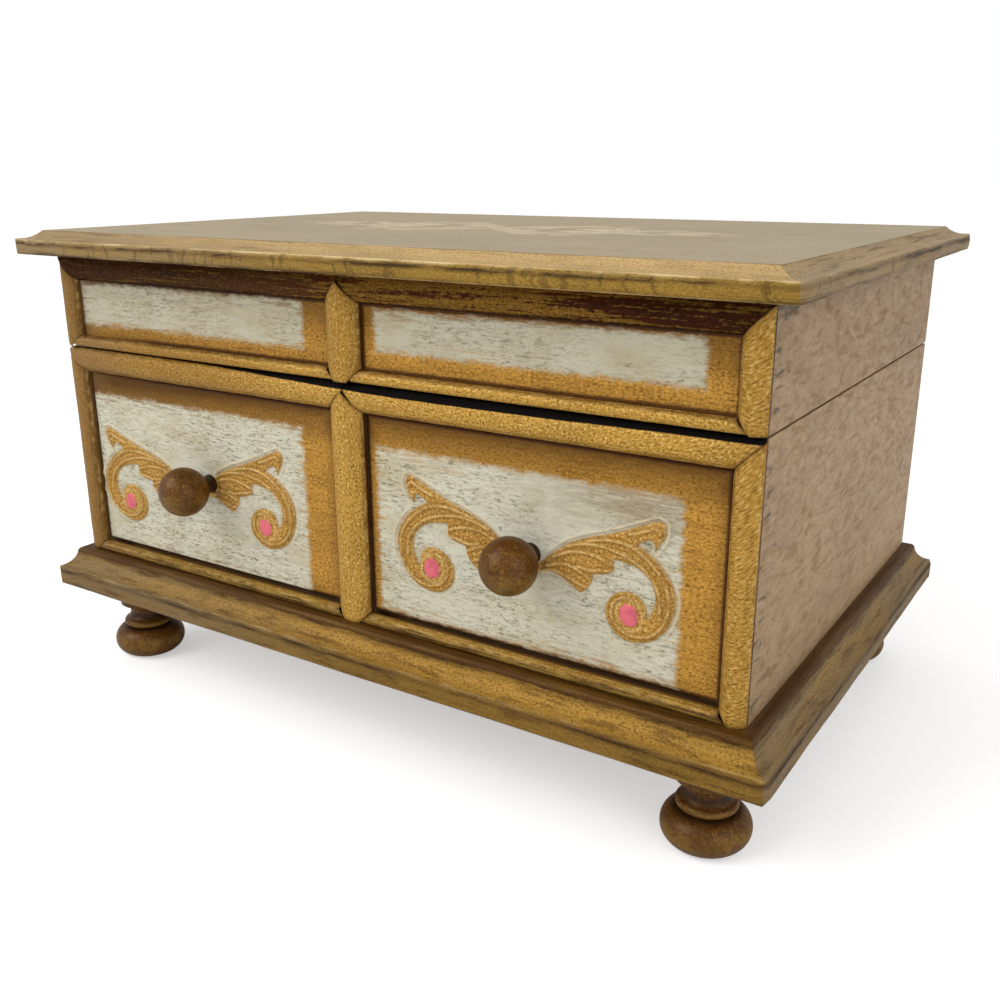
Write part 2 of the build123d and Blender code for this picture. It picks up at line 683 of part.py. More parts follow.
def knob_screw(side):
    """Screw from inside the drawer into the knob."""
    length = KNOB_BORE_DEPTH - RUNNING_FIT + DRAWER_FRONT
    shank = Pos(0, 0, length / 2 - DRAWER_FRONT) * Cylinder(KNOB_SCREW_RADIUS, length)
    head_z = -DRAWER_FRONT - KNOB_SCREW_HEAD_HEIGHT / 2
    head = Pos(0, 0, head_z) * Cylinder(KNOB_SCREW_HEAD_RADIUS, KNOB_SCREW_HEAD_HEIGHT)
    return facing_front(shank + head, side)


def tray_floor():
    """Board under the tray with the hole of the stop rod."""
    board = span_box((-INNER_X, INNER_X), (TRAY_FRONT_Y, BACK_Y), (Z_TRAY_UNDER, Z_TRAY))
    hole = upright(STOP_ROD_RADIUS + RUNNING_FIT, (Z_TRAY_UNDER, Z_TRAY), STOP_ROD_X, STOP_ROD_Y)
    return board - hole


def tray_lining():
    """Velvet floor card, four wall cards and two dividers."""
    floor_z = (Z_TRAY, Z_TRAY + LINING)
    wall_z = (floor_z[1], Z_SEAM - LINING_REVEAL)
    x = (-INNER_X, INNER_X)
    y = (TRAY_FRONT_Y, BACK_Y)
    floor = span_box(x, y, floor_z)
    rod = upright(STOP_ROD_RADIUS + RUNNING_FIT, floor_z, STOP_ROD_X, STOP_ROD_Y)
    inner_y = (y[0] + LINING, y[1] - LINING)
    split_x = x[0] + LINING + RING_BAY_WIDTH
    split_y = inner_y[0] + RING_BAY_DEPTH
    return [
        floor - rod,
        span_box(x, (y[0], inner_y[0]), wall_z),
        span_box(x, (inner_y[1], y[1]), wall_z),
        span_box((x[0], x[0] + LINING), inner_y, wall_z),
        span_box((x[1] - LINING, x[1]), inner_y, wall_z),
        span_box((split_x, split_x + DIVIDER), inner_y, wall_z),
        span_box((x[0] + LINING, split_x), (split_y, split_y + DIVIDER), wall_z),
    ]


def roll_section(x, width, height, shoulder):
    """Section of a ring roll in a plane across X, with a crowned top."""
    half = width / 2
    outline = Curve() + [
        Line((-half, 0), (half, 0)),
        Line((half, 0), (half, shoulder)),
        ThreePointArc((half, shoulder), (0, height), (-half, shoulder)),
        Line((-half, shoulder), (-half, 0)),
    ]
    return Plane(origin=(x, 0, 0), x_dir=(0, 1, 0), z_dir=(1, 0, 0)) * make_face(outline)


def ring_rolls():
    """Padded rolls side by side: crowned along their length and drawn in at both ends."""
    low_x = -INNER_X + LINING + SOFT_CLEARANCE
    high_x = low_x + RING_BAY_WIDTH - 2 * SOFT_CLEARANCE
    pitch = (RING_BAY_DEPTH - RING_ROLL_GAP) / RING_ROLL_COUNT
    width = pitch - RING_ROLL_GAP
    rolls = []
    for index in range(RING_ROLL_COUNT):
        y = TRAY_FRONT_Y + LINING + RING_ROLL_GAP + pitch * (index + 0.5) - RING_ROLL_GAP / 2
        sections = []
        for x, draw in (
            (low_x, RING_ROLL_DRAW),
            (low_x + RING_ROLL_END, 0.0),
            (high_x - RING_ROLL_END, 0.0),
            (high_x, RING_ROLL_DRAW),
        ):
            height = RING_ROLL_HEIGHT - draw
            sections.append(roll_section(x, width - draw, height, RING_ROLL_SHOULDER - draw))
        roll = loft(sections, ruled=True)
        rolls.append(Pos(0, y, Z_TRAY + LINING + SOFT_CLEARANCE) * roll)
    return rolls


def leaf_with_knuckles(side, leaf_z, spans):
    """Hinge leaf on one side with a knuckle over each span of X."""
    x = hinge_x(side)
    y = hinge_leaf_y()
    leaf = span_box(x, y, leaf_z)
    for low, high in spans:
        leaf += span_box((low, high), (y[1], HINGE_Y), leaf_z)
        leaf += level(HINGE_KNUCKLE_RADIUS, (low, high), HINGE_Y, HINGE_Z)
    return leaf - level(HINGE_PIN_RADIUS + RUNNING_FIT, x, HINGE_Y, HINGE_Z)


def knuckle_spans(side):
    """Spans of X of the three knuckles of a hinge, with running gaps between them."""
    low = hinge_x(side)[0]
    third = HINGE_LENGTH / 3
    gap = HINGE_KNUCKLE_GAP / 2
    first = (low, low + third - gap)
    second = (low + third + gap, low + 2 * third - gap)
    last = (low + 2 * third + gap, low + HINGE_LENGTH)
    return first, second, last


def screw_seats(leaves, base_z, direction):
    """Leaves with countersunk holes for their screws."""
    for x, y in hinge_screw_places():
        for index, leaf in enumerate(leaves):
            leaves[index] = leaf - hinge_screw(x, y, base_z, direction, SNUG_FIT)
    return leaves


def hinge_screw(x, y, face_z, direction, grow=0.0):
    """Countersunk screw that stops flush with its leaf, enlarged all round to cut its seat."""
    head = Cone(HINGE_SCREW_RADIUS + grow, HINGE_SCREW_HEAD_RADIUS + grow, HINGE_LEAF)
    shank_length = HINGE_SCREW_LENGTH + HINGE_LEAF + grow
    shank = Pos(0, 0, -shank_length / 2) * Cylinder(HINGE_SCREW_RADIUS + grow, shank_length)
    screw = Pos(0, 0, -HINGE_LEAF / 2) * head + shank
    if direction > 0:
        screw = Rot(180, 0, 0) * screw
    return Pos(x, y, face_z) * screw


def hinge_case_leaves():
    """Leaves let into the case, each with the two outer knuckles."""
    leaves = []
    for side in (-1, 1):
        first, _, last = knuckle_spans(side)
        leaves.append(leaf_with_knuckles(side, case_leaf_z(), (first, last)))
    return screw_seats(leaves, case_leaf_z()[1], -1)


def hinge_lid_leaves():
    """Leaves let into the lid, each with the middle knuckle."""
    leaves = []
    for side in (-1, 1):
        _, second, _ = knuckle_spans(side)
        leaves.append(leaf_with_knuckles(side, lid_leaf_z(), (second,)))
    return screw_seats(leaves, lid_leaf_z()[0], 1)


def hinge_pins():
    """Pins of both hinges with a head at each end."""
    pins = []
    for side in (-1, 1):
        low, high = hinge_x(side)
        pin = level(HINGE_PIN_RADIUS, (low, high), HINGE_Y, HINGE_Z)
        pin += level(HINGE_PIN_HEAD_RADIUS, (low - HINGE_PIN_HEAD, low), HINGE_Y, HINGE_Z)
        pin += level(HINGE_PIN_HEAD_RADIUS, (high, high + HINGE_PIN_HEAD), HINGE_Y, HINGE_Z)
        pins.append(pin)
    return pins


def hinge_screws(face_z, direction):
    """Screws of one pair of leaves."""
    return [hinge_screw(x, y, face_z, direction) for x, y in hinge_screw_places()]


def lid_slab():
    """Moulded top of the lid."""
    board = crossed_mouldings(
        CASE_WIDTH + 2 * SLAB_OVERHANG,
        CASE_DEPTH + 2 * SLAB_OVERHANG,
        slab_outline,
        SLAB_CORNER,
    )
    return Pos(0, 0, Z_SLAB) * board


def lid_back_wall():
    """Back board of the lid with the hinge seats in its lower edge."""
    board = span_box((-INNER_X, INNER_X), (BACK_Y, HALF_DEPTH), (Z_LID, Z_SLAB))
    return mortised(board, lid_leaf_z(), Z_LID, lid_leaf_z()[0], 1)


def lid_front_board():
    """Front board of the lid, behind its mouldings."""
    return span_box((-INNER_X, INNER_X), (PANEL_Y, PANEL_Y + WALL), (Z_LID, Z_SLAB))


def lid_inner():
    """Low and high X and Y of the lid's hollow, inside its boards."""
    return (-INNER_X, INNER_X), (PANEL_Y + WALL, BACK_Y)


def mirror_span():
    """Low and high X and Y of the mirror."""
    x, y = lid_inner()
    middle = (y[0] + y[1]) / 2
    return (-MIRROR_WIDTH / 2, MIRROR_WIDTH / 2), (middle - MIRROR_DEPTH / 2, middle + MIRROR_DEPTH / 2)


def mirror_glass():
    """Mirror under the slab."""
    x, y = mirror_span()
    return span_box(x, y, (Z_SLAB - MIRROR_THICKNESS, Z_SLAB))


def mirror_frame():
    """Covered board round the mirror."""
    x, y = lid_inner()
    gap = MIRROR_CLEARANCE
    glass_x, glass_y = mirror_span()
    z = (Z_SLAB - MIRROR_FRAME_THICKNESS, Z_SLAB)
    board = span_box(x, y, z)
    return board - span_box((glass_x[0] - gap, glass_x[1] + gap), (glass_y[0] - gap, glass_y[1] + gap), z)


def lid_lining():
    """Velvet cards on the four walls of the lid's hollow."""
    x, y = lid_inner()
    z = (Z_LID + LINING_REVEAL, Z_SLAB - MIRROR_FRAME_THICKNESS)
    inner_y = (y[0] + LINING, y[1] - LINING)
    return [
        span_box(x, (y[0], inner_y[0]), z),
        span_box(x, (inner_y[1], y[1]), z),
        span_box((x[0], x[0] + LINING), inner_y, z),
        span_box((x[1] - LINING, x[1]), inner_y, z),
    ]


def stop_striker():
    """Block in the lid that holds the stop rod down while the lid is shut."""
    x = (STOP_ROD_X - STRIKER_WIDTH / 2, STOP_ROD_X + STRIKER_WIDTH / 2)
    back = BACK_Y - LINING
    low = Z_LID + LINING_REVEAL
    return span_box(x, (back - STRIKER_DEPTH, back), (low, low + STRIKER_HEIGHT))


def toothed_outline(teeth, root_radius, tip_radius, root_width, tip_width):
    """Outline of a wheel with straight-sided teeth, the first tooth on the local X axis."""
    points = []
    for index in range(teeth):
        middle = 2 * math.pi * index / teeth
        root_half = root_width / 2 / root_radius
        tip_half = tip_width / 2 / tip_radius
        for radius, angle in (
            (root_radius, middle - root_half),
            (tip_radius, middle - tip_half),
            (tip_radius, middle + tip_half),
            (root_radius, middle + root_half),
        ):
            points.append((radius * math.cos(angle), radius * math.sin(angle)))
    return make_face(Polyline(*points, close=True))


def wheel_along_x(outline, x, y, z, width, turn):
    """Outline extruded along X at an axle, turned so that its first tooth points at an angle from Y."""
    plane = Plane(origin=(x, y, z), x_dir=(0, 1, 0), z_dir=(1, 0, 0))
    return extrude(plane * (Rot(0, 0, turn) * outline), width)


def movement_bedplate():
    """Plate on three feet with the bearing plates, the comb's block and the barrel's hole."""
    bed = span_box(BED_X, BED_Y, (Z_BED - BED_THICKNESS, Z_BED))
    for foot_x, foot_y in bed_foot_places():
        bed += upright(BED_FOOT_RADIUS, (Z_CASE, Z_BED - BED_THICKNESS), foot_x, foot_y)
    top = Z_AXIS + 2 * CYLINDER_ARBOR_RADIUS
    wide = 2 * CYLINDER_ARBOR_RADIUS + PLATE_THICKNESS
    for plate_x in (INNER_PLATE_X, OUTER_PLATE_X):
        plate_span = (plate_x, plate_x + PLATE_THICKNESS)
        bed += span_box(plate_span, (MOVEMENT_Y - wide, MOVEMENT_Y + wide), (Z_BED, top))
    idler_y = (IDLER_Y - wide, IDLER_Y + wide)
    idler_top = IDLER_Z + wide
    for plate_x in (OUTER_PLATE_X, END_PLATE_X):
        bed += span_box((plate_x, plate_x + PLATE_THICKNESS), idler_y, (Z_BED, idler_top))
    block_y = (comb_y()[0], comb_y()[0] + COMB_HEEL)
    bed += span_box(comb_x(), block_y, (Z_BED, Z_AXIS - COMB_THICKNESS / 2))
    bed -= upright(ARBOR_RADIUS + RUNNING_FIT, (Z_CASE, Z_BED), BARREL_X, MOVEMENT_Y)
    arbor = CYLINDER_ARBOR_RADIUS + RUNNING_FIT
    bed -= level(arbor, (INNER_PLATE_X, OUTER_PLATE_X + PLATE_THICKNESS), MOVEMENT_Y, Z_AXIS)
    idler_bore = FAN_SHAFT_RADIUS + RUNNING_FIT
    bed -= level(idler_bore, (OUTER_PLATE_X, END_PLATE_X + PLATE_THICKNESS), IDLER_Y, IDLER_Z)
    return bed - joined(movement_screws(SNUG_FIT))


def comb_x():
    """Low and high X of the comb."""
    return CYLINDER_X, CYLINDER_X + CYLINDER_LENGTH


def comb_y():
    """Low and high Y of the comb: heel at the front, tooth tips beside the cylinder's pins."""
    return COMB_TIP_Y - COMB_LENGTH, COMB_TIP_Y


def tone_comb():
    """Steel comb cut into its teeth."""
    x = comb_x()
    y = comb_y()
    half = COMB_THICKNESS / 2
    comb = span_box(x, y, (Z_AXIS - half, Z_AXIS + half))
    pitch = (x[1] - x[0]) / COMB_TEETH
    slots = []
    for index in range(1, COMB_TEETH):
        middle = x[0] + pitch * index
        slot_x = (middle - COMB_SLOT / 2, middle + COMB_SLOT / 2)
        slots.append(span_box(slot_x, (y[0] + COMB_HEEL, y[1]), (Z_AXIS - half, Z_AXIS + half)))
    return comb - Compound(slots) - joined(comb_screws(SNUG_FIT))


def comb_screws(grow=0.0):
    """Two screws through the comb's heel into its block."""
    x = comb_x()
    y = comb_y()[0] + COMB_HEEL / 2
    top = Z_AXIS + COMB_THICKNESS / 2
    screws = []
    for screw_x in (x[0] + COMB_SCREW_INSET, x[1] - COMB_SCREW_INSET):
        shank = upright(COMB_SCREW_RADIUS + grow, (top - COMB_SCREW_LENGTH - grow, top), screw_x, y)
        head = upright(COMB_SCREW_HEAD_RADIUS, (top, top + COMB_SCREW_HEAD_HEIGHT), screw_x, y)
        screws.append(shank + head)
    return screws


def movement_screws(grow=0.0):
    """Comb screws and the screws that come up through the base into the bedplate's feet."""
    screws = comb_screws(grow)
    for x, y in bed_foot_places():
        shank = upright(BED_SCREW_RADIUS + grow, (Z_BASE, Z_BED), x, y)
        head = upright(BED_SCREW_HEAD_RADIUS, (Z_BASE, Z_BASE + BED_SCREW_HEAD_HEIGHT), x, y)
        screws.append(shank + head)
    return screws


def spring_barrel():
    """Barrel open below, with a crown of teeth on its upper rim."""
    x, y = BARREL_X, MOVEMENT_Y
    barrel = upright(BARREL_RADIUS, (Z_BARREL, Z_CROWN), x, y)
    rim_radius = CROWN_RADIUS + CROWN_FACE / 2
    barrel += upright(rim_radius, (Z_CROWN - BARREL_WALL, Z_CROWN), x, y)
    barrel -= upright(BARREL_RADIUS - BARREL_WALL, (Z_BARREL, Z_CROWN - BARREL_WALL), x, y)
    half = CROWN_ROOT_WIDTH / 2
    tip = CROWN_TIP_WIDTH / 2
    top = CROWN_TOOTH_HEIGHT
    outline = Polyline((-half, 0), (half, 0), (tip, top), (-tip, top), close=True)
    start = Plane(origin=(CROWN_RADIUS - CROWN_FACE / 2, 0, Z_CROWN), x_dir=(0, 1, 0), z_dir=(1, 0, 0))
    tooth = extrude(start * make_face(outline), CROWN_FACE)
    teeth = []
    for index in range(CROWN_TEETH):
        teeth.append(Pos(x, y, 0) * Rot(0, 0, 360 * (index + 0.5) / CROWN_TEETH) * tooth)
    barrel = barrel + teeth
    return barrel - upright(ARBOR_RADIUS + RUNNING_FIT, (Z_CROWN - BARREL_WALL, Z_CROWN), x, y)


def mainspring():
    """Coiled strip between the arbor's hub and the barrel's wall."""
    inner = ARBOR_HUB_RADIUS + SPRING_THICKNESS
    outer = BARREL_RADIUS - BARREL_WALL - SPRING_THICKNESS
    steps = 2 * SPRING_COILS
    gain = (outer - inner) / steps
    edges = []
    for shift in (0.0, SPRING_THICKNESS):
        arcs = []
        for index in range(steps):
            start = inner + shift + gain * index
            end = start + gain
            direction = 1 if index % 2 == 0 else -1
            middle = (0, direction * (start + end) / 2)
            arcs.append(ThreePointArc((direction * start, 0), middle, (-direction * end, 0)))
        edges += arcs
    edges.append(Line((inner, 0), (inner + SPRING_THICKNESS, 0)))
    last = inner + gain * steps
    edges.append(Line((last, 0), (last + SPRING_THICKNESS, 0)))
    low = Z_BARREL + (BARREL_HEIGHT - BARREL_WALL - SPRING_HEIGHT) / 2
    return Pos(BARREL_X, MOVEMENT_Y, low) * extrude(make_face(Curve() + edges), SPRING_HEIGHT)


def key_top():
    """Height of the key's collar under the base."""
    return Z_BASE - KEY_BELOW_BASE


def winding_arbor():
    """Square-ended shaft that the key turns, with the hub that holds the spring's inner end."""
    x, y = BARREL_X, MOVEMENT_Y
    low = key_top() - KEY_COLLAR_LENGTH + KEY_BELOW_BASE
    shaft = upright(ARBOR_RADIUS, (low, Z_CROWN + BARREL_WALL), x, y)
    hub = (Z_BARREL, Z_CROWN - BARREL_WALL - BARREL_FLOAT)
    return shaft + upright(ARBOR_HUB_RADIUS, hub, x, y)


def winding_key():
    """Butterfly key on a collar bored for the arbor."""
    x, y = BARREL_X, MOVEMENT_Y
    top = key_top()
    low = top - KEY_COLLAR_LENGTH
    collar = upright(KEY_COLLAR_RADIUS, (low, top), x, y)
    wing = Plane.XZ * RectangleRounded(KEY_WING_SPAN, KEY_WING_HEIGHT, KEY_WING_ROUND)
    wings = extrude(wing, KEY_WING_THICKNESS / 2, both=True)
    wings = Pos(x, y, low - KEY_WING_HEIGHT / 2 + KEY_BELOW_BASE) * wings
    bore = (low + KEY_BELOW_BASE, top)
    return collar + wings - upright(ARBOR_RADIUS + SNUG_FIT, bore, x, y)


def tune_cylinder():
    """Pinned drum on its arbor, with the pinion at the barrel and the wheel at the governor."""
    y, z = MOVEMENT_Y, Z_AXIS
    ends = (PINION_X - CROWN_FACE, OUTER_PLATE_X + PLATE_THICKNESS + PLATE_GAP / 2)
    body = level(CYLINDER_ARBOR_RADIUS, ends, y, z)
    body += level(CYLINDER_RADIUS, comb_x(), y, z)
    root = PINION_RADIUS - CROWN_PITCH_HEIGHT - MESH_CLEARANCE
    tip = PINION_RADIUS + CROWN_PITCH_HEIGHT - MESH_CLEARANCE
    pinion = toothed_outline(PINION_TEETH, root, tip, PINION_ROOT_WIDTH, PINION_TIP_WIDTH)
    body += wheel_along_x(pinion, PINION_X - CROWN_FACE / 2, y, z, CROWN_FACE, -90)
    body += wheel_along_x(spur_outline(WHEEL_TEETH), WHEEL_X, y, z, WHEEL_WIDTH, IDLER_ANGLE)
    pins = []
    pitch = CYLINDER_LENGTH / COMB_TEETH
    for index in range(COMB_TEETH * PINS_PER_TOOTH):
        x = CYLINDER_X + pitch * (index % COMB_TEETH + 0.5)
        turn = 360 * PIN_GOLDEN_TURN * (index + 1)
        reach = CYLINDER_RADIUS + PIN_HEIGHT
        pin = Pos(0, 0, reach / 2) * Cylinder(PIN_RADIUS, reach)
        pins.append(Pos(x, y, z) * Rot(turn, 0, 0) * pin)
    return body + pins


def spur_outline(teeth):
    """Outline of a spur wheel of the governor's module."""
    pitch_radius = GEAR_MODULE * teeth / 2
    pitch = math.pi * GEAR_MODULE
    root = pitch_radius - GEAR_MODULE * GEAR_DEDENDUM
    tip = pitch_radius + GEAR_MODULE * GEAR_ADDENDUM
    return toothed_outline(teeth, root, tip, pitch * GEAR_ROOT_SHARE, pitch * GEAR_TIP_SHARE)


def governor_idler():
    """Small arbor with the pinion driven by the cylinder and the wheel that drives the worm."""
    y, z = IDLER_Y, IDLER_Z
    body = level(FAN_SHAFT_RADIUS, (WHEEL_X - PLATE_GAP, END_PLATE_X + PLATE_THICKNESS), y, z)
    turn = IDLER_ANGLE + 180 + 180 / IDLER_TEETH
    body += wheel_along_x(spur_outline(IDLER_TEETH), WHEEL_X, y, z, WHEEL_WIDTH, turn)
    root = WORM_WHEEL_RADIUS - WORM_WHEEL_DEDENDUM
    tip = WORM_WHEEL_RADIUS + WORM_WHEEL_ADDENDUM
    outline = toothed_outline(WORM_WHEEL_TEETH, root, tip, WORM_WHEEL_TOOTH_ROOT, WORM_WHEEL_TOOTH_TIP)
    body += wheel_along_x(outline, WORM_WHEEL_X, y, z, WORM_WHEEL_WIDTH, 180)
    return body


def worm_thread(turn):
    """One start of the worm as a swept ridge."""
    tip = WORM_RADIUS + WORM_RIDGE_HEIGHT
    root = WORM_CORE_RADIUS - WORM_RIDGE_SINK
    path = Helix(pitch=WORM_STARTS * WORM_PITCH, height=WORM_LENGTH, radius=WORM_CORE_RADIUS)
    wide = WORM_RIDGE_ROOT / 2
    narrow = WORM_RIDGE_TIP / 2
    outline = Polyline((root, -wide), (tip, -narrow), (tip, narrow), (root, wide), close=True)
    ridge = sweep(Plane.XZ * make_face(outline), path=path, is_frenet=True)
    return Rot(0, 0, turn) * ridge


def governor_fan():
    """Upright worm shaft with two air blades."""
    low = IDLER_Z - WORM_LENGTH / 2
    start = 360 * (WORM_LENGTH / 2) / (WORM_STARTS * WORM_PITCH)
    turn = 90 - start + 180 / WORM_STARTS
    worm = Pos(0, 0, WORM_LENGTH / 2) * Cylinder(WORM_CORE_RADIUS, WORM_LENGTH + 2 * WORM_CORE_END)
    for index in range(WORM_STARTS):
        worm += worm_thread(turn + 360 * index / WORM_STARTS)
    body = Pos(WORM_X, WORM_Y, low) * worm
    ends = (frame_low() - PIVOT_DEPTH, Z_FAN_TOP + FRAME_POST_GAP + PIVOT_DEPTH)
    body += upright(FAN_SHAFT_RADIUS, ends, WORM_X, WORM_Y)
    blade = span_box((-FAN_RADIUS, FAN_RADIUS), (-FAN_BLADE / 2, FAN_BLADE / 2), (Z_FAN, Z_FAN_TOP))
    return body + Pos(WORM_X, WORM_Y, 0) * blade


def frame_low():
    """Height of the upper face of the governor frame's lower arm."""
    return IDLER_Z - WORM_LENGTH / 2 - WORM_CORE_END - FRAME_POST_GAP


def governor_frame():
    """Post with two arms that hold the fan's pivots."""
    x = (WORM_X - FRAME_ARM_WIDTH / 2, WORM_X + FRAME_ARM_WIDTH / 2)
    arm_y = (POST_FRONT_Y, WORM_Y + FRAME_ARM_WIDTH / 2)
    arm_top = Z_FAN_TOP + FRAME_POST_GAP + FRAME_ARM_THICKNESS
    low = frame_low()
    frame = span_box(x, (POST_FRONT_Y, POST_FRONT_Y + FRAME_POST_DEPTH), (Z_BED, arm_top))
    frame += span_box(x, arm_y, (arm_top - FRAME_ARM_THICKNESS, arm_top))
    frame += span_box(x, arm_y, (low - FRAME_ARM_THICKNESS, low))
    pivot = FAN_SHAFT_RADIUS + RUNNING_FIT
    frame -= upright(pivot, (low - FRAME_ARM_THICKNESS, low), WORM_X, WORM_Y)
    return frame - upright(pivot, (arm_top - FRAME_ARM_THICKNESS, arm_top), WORM_X, WORM_Y)


def stop_rod_guide():
    """Post on the base that the stop rod slides in."""
    half = STOP_GUIDE_WIDTH / 2
    x = (STOP_ROD_X - half, STOP_ROD_X + half)
    y = (STOP_ROD_Y - half, STOP_ROD_Y + half)
    top = Z_CASE + STOP_GUIDE_HEIGHT
    bore = (top - STOP_GUIDE_DEPTH, top)
    hole = upright(STOP_ROD_RADIUS + RUNNING_FIT, bore, STOP_ROD_X, STOP_ROD_Y)
    return span_box(x, y, (Z_CASE, top)) - hole


def stop_rod():
    """Upright rod from its guide to the lid's striker, with the finger that reaches the fan."""
    top = Z_LID + LINING_REVEAL - SOFT_CLEARANCE
    low = Z_CASE + STOP_GUIDE_HEIGHT - STOP_GUIDE_DEPTH + SOFT_CLEARANCE
    rod = upright(STOP_ROD_RADIUS, (low, top), STOP_ROD_X, STOP_ROD_Y)
    across = STOP_ROD_X - WORM_X
    back = STOP_ROD_Y - WORM_Y
    distance = math.hypot(across, back)
    length = distance - FAN_RADIUS - STOP_FINGER_GAP
    finger_low = Z_FAN_TOP - STOP_RISE / 2
    finger_z = (finger_low, finger_low + STOP_FINGER_THICKNESS)
    finger = span_box((0, length), (-STOP_FINGER_WIDTH / 2, STOP_FINGER_WIDTH / 2), finger_z)
    turn = math.degrees(math.atan2(-back, -across))
    return rod + Pos(STOP_ROD_X, STOP_ROD_Y, 0) * Rot(0, 0, turn) * finger


def case_nodes():
    """Fixed woodwork, linings and hinge parts of the case."""
    widths = (BOTTOM_RAIL_WIDTH, TOP_RAIL_WIDTH)
    stiles, muntin, low_rails, high_rails = front_frame(Z_CASE, Z_SEAM, *widths)
    sills = [rail + sill(side) for side, rail in zip((-1, 1), low_rails)]
    nodes = {
        "base_board": base_board(),
        "side_walls": side_boards((Z_CASE, Z_SEAM)),
        "back_wall": back_wall(),
        "front_rail": front_rail(),
        "centre_partition": centre_partition(),
        "rear_partition": rear_partition(),
        "drawer_runners": drawer_runners(),
        "front_stiles": stiles,
        "front_muntin": muntin,
        "front_bottom_rails": sills,
        "front_top_rails": high_rails,
        "tray_floor": tray_floor(),
        "tray_lining": tray_lining(),
        "ring_rolls": ring_rolls(),
        "hinge_case_leaves": hinge_case_leaves(),
        "hinge_pins": hinge_pins(),
        "hinge_case_screws": hinge_screws(case_leaf_z()[1], -1),
    }
    for corner, (x, y) in foot_places().items():
        nodes["foot_" + corner] = foot(x, y)
    return nodes


def drawer_nodes():
    """Pieces of the two drawers."""
    nodes = {}
    for name, side in (("left", -1), ("right", 1)):
        start = "drawer_" + name
        nodes[start + "_front"] = drawer_front(side)
        nodes[start + "_box"] = drawer_box(side)
        nodes[start + "_lining"] = drawer_lining(side)
        nodes[start + "_knob"] = knob(side)
        nodes[start + "_knob_screw"] = knob_screw(side)
    return nodes


def lid_nodes():
    """Pieces of the lid."""
    widths = (LID_BOTTOM_RAIL_WIDTH, LID_TOP_RAIL_WIDTH)
    stiles, muntin, low_rails, high_rails = front_frame(Z_LID, Z_SLAB, *widths)
    return {
        "lid_slab": lid_slab(),
        "lid_side_walls": side_boards((Z_LID, Z_SLAB)),
        "lid_back_wall": lid_back_wall(),
        "lid_front_board": lid_front_board(),
        "lid_stiles": stiles,
        "lid_muntin": muntin,
        "lid_bottom_rails": low_rails,
        "lid_top_rails": high_rails,
        "mirror": mirror_glass(),
        "mirror_frame": mirror_frame(),
        "lid_lining": lid_lining(),
        "stop_striker": stop_striker(),
        "hinge_lid_leaves": hinge_lid_leaves(),
        "hinge_lid_screws": hinge_screws(lid_leaf_z()[0], 1),
    }


def movement_nodes():
    """Pieces of the musical movement and its lid stop."""
    return {
        "movement_bedplate": movement_bedplate(),
        "movement_screws": movement_screws(),
        "spring_barrel": spring_barrel(),
        "mainspring": mainspring(),
        "winding_arbor": winding_arbor(),
        "winding_key": winding_key(),
        "tune_cylinder": tune_cylinder(),
        "tone_comb": tone_comb(),
        "governor_idler": governor_idler(),
        "governor_fan": governor_fan(),
        "governor_frame": governor_frame(),
        "stop_rod_guide": stop_rod_guide(),
        "stop_rod": stop_rod(),
    }


def write_node(name, shape):
    """Write one node, moved so that the whole box is centred on the origin."""
    solids = shape if isinstance(shape, list) else [shape]
    moved = [Pos(0, SHIFT_Y, 0) * solid for solid in solids]
    export_step(Compound(children=moved), "parts/" + name + ".step")


os.makedirs("parts", exist_ok=True)
for maker in (case_nodes, drawer_nodes, lid_nodes, movement_nodes):
    for node_name, node_shape in maker().items():
        write_node(node_name, node_shape)
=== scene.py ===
"""Looks of a painted and gilded musical jewelry box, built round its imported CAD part.

Lengths inside the builders are in millimetres and become metres when a mesh is made.
"""

import math

import bpy
import numpy as np
from bpy.props import FloatProperty, FloatVectorProperty, PointerProperty
from mathutils import Euler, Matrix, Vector


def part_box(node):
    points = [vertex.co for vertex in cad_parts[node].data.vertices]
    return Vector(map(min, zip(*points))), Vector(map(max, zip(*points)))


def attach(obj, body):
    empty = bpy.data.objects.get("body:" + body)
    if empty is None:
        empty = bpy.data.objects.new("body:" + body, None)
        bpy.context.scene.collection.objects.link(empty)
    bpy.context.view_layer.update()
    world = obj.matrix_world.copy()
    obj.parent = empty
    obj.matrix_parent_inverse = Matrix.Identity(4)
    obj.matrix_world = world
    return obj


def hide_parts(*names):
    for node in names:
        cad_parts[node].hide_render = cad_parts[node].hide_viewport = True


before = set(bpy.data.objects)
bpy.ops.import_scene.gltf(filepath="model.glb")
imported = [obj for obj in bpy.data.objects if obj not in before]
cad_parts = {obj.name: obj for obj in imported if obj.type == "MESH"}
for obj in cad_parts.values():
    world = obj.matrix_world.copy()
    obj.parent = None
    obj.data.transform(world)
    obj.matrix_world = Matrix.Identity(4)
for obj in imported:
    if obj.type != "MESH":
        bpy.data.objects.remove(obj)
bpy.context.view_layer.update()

bl_info = {
    "name": "Jewelry Box Looks",
    "version": (1, 0, 0),
    "blender": (4, 5, 0),
    "location": "View3D > Sidebar > Jewelry Box",
    "description": "Builds the painted surfaces of a musical jewelry box and its studio",
    "category": "Object",
}

MM = 0.001
ROUND = 56  # points round a turning
SLAB_UNDER = 20.0  # reach of the edge's mesh under the slab
BASE_UNDER = 30.0  # the same under the base
FOOT_BUN = 8.8  # height of a foot's bun
FOOT_RING = 11.0  # and of the ring on it


def length(name, description, millimetres):
    """A length property with its default in millimetres."""
    default = millimetres * MM
    return FloatProperty(name=name, description=description, default=default, unit="LENGTH", precision=5)


def angle(name, description, degrees):
    """An angle property with its default in degrees."""
    return FloatProperty(name=name, description=description, default=math.radians(degrees), subtype="ANGLE")


def number(name, description, default, **limits):
    """A plain number property."""
    return FloatProperty(name=name, description=description, default=default, precision=5, **limits)


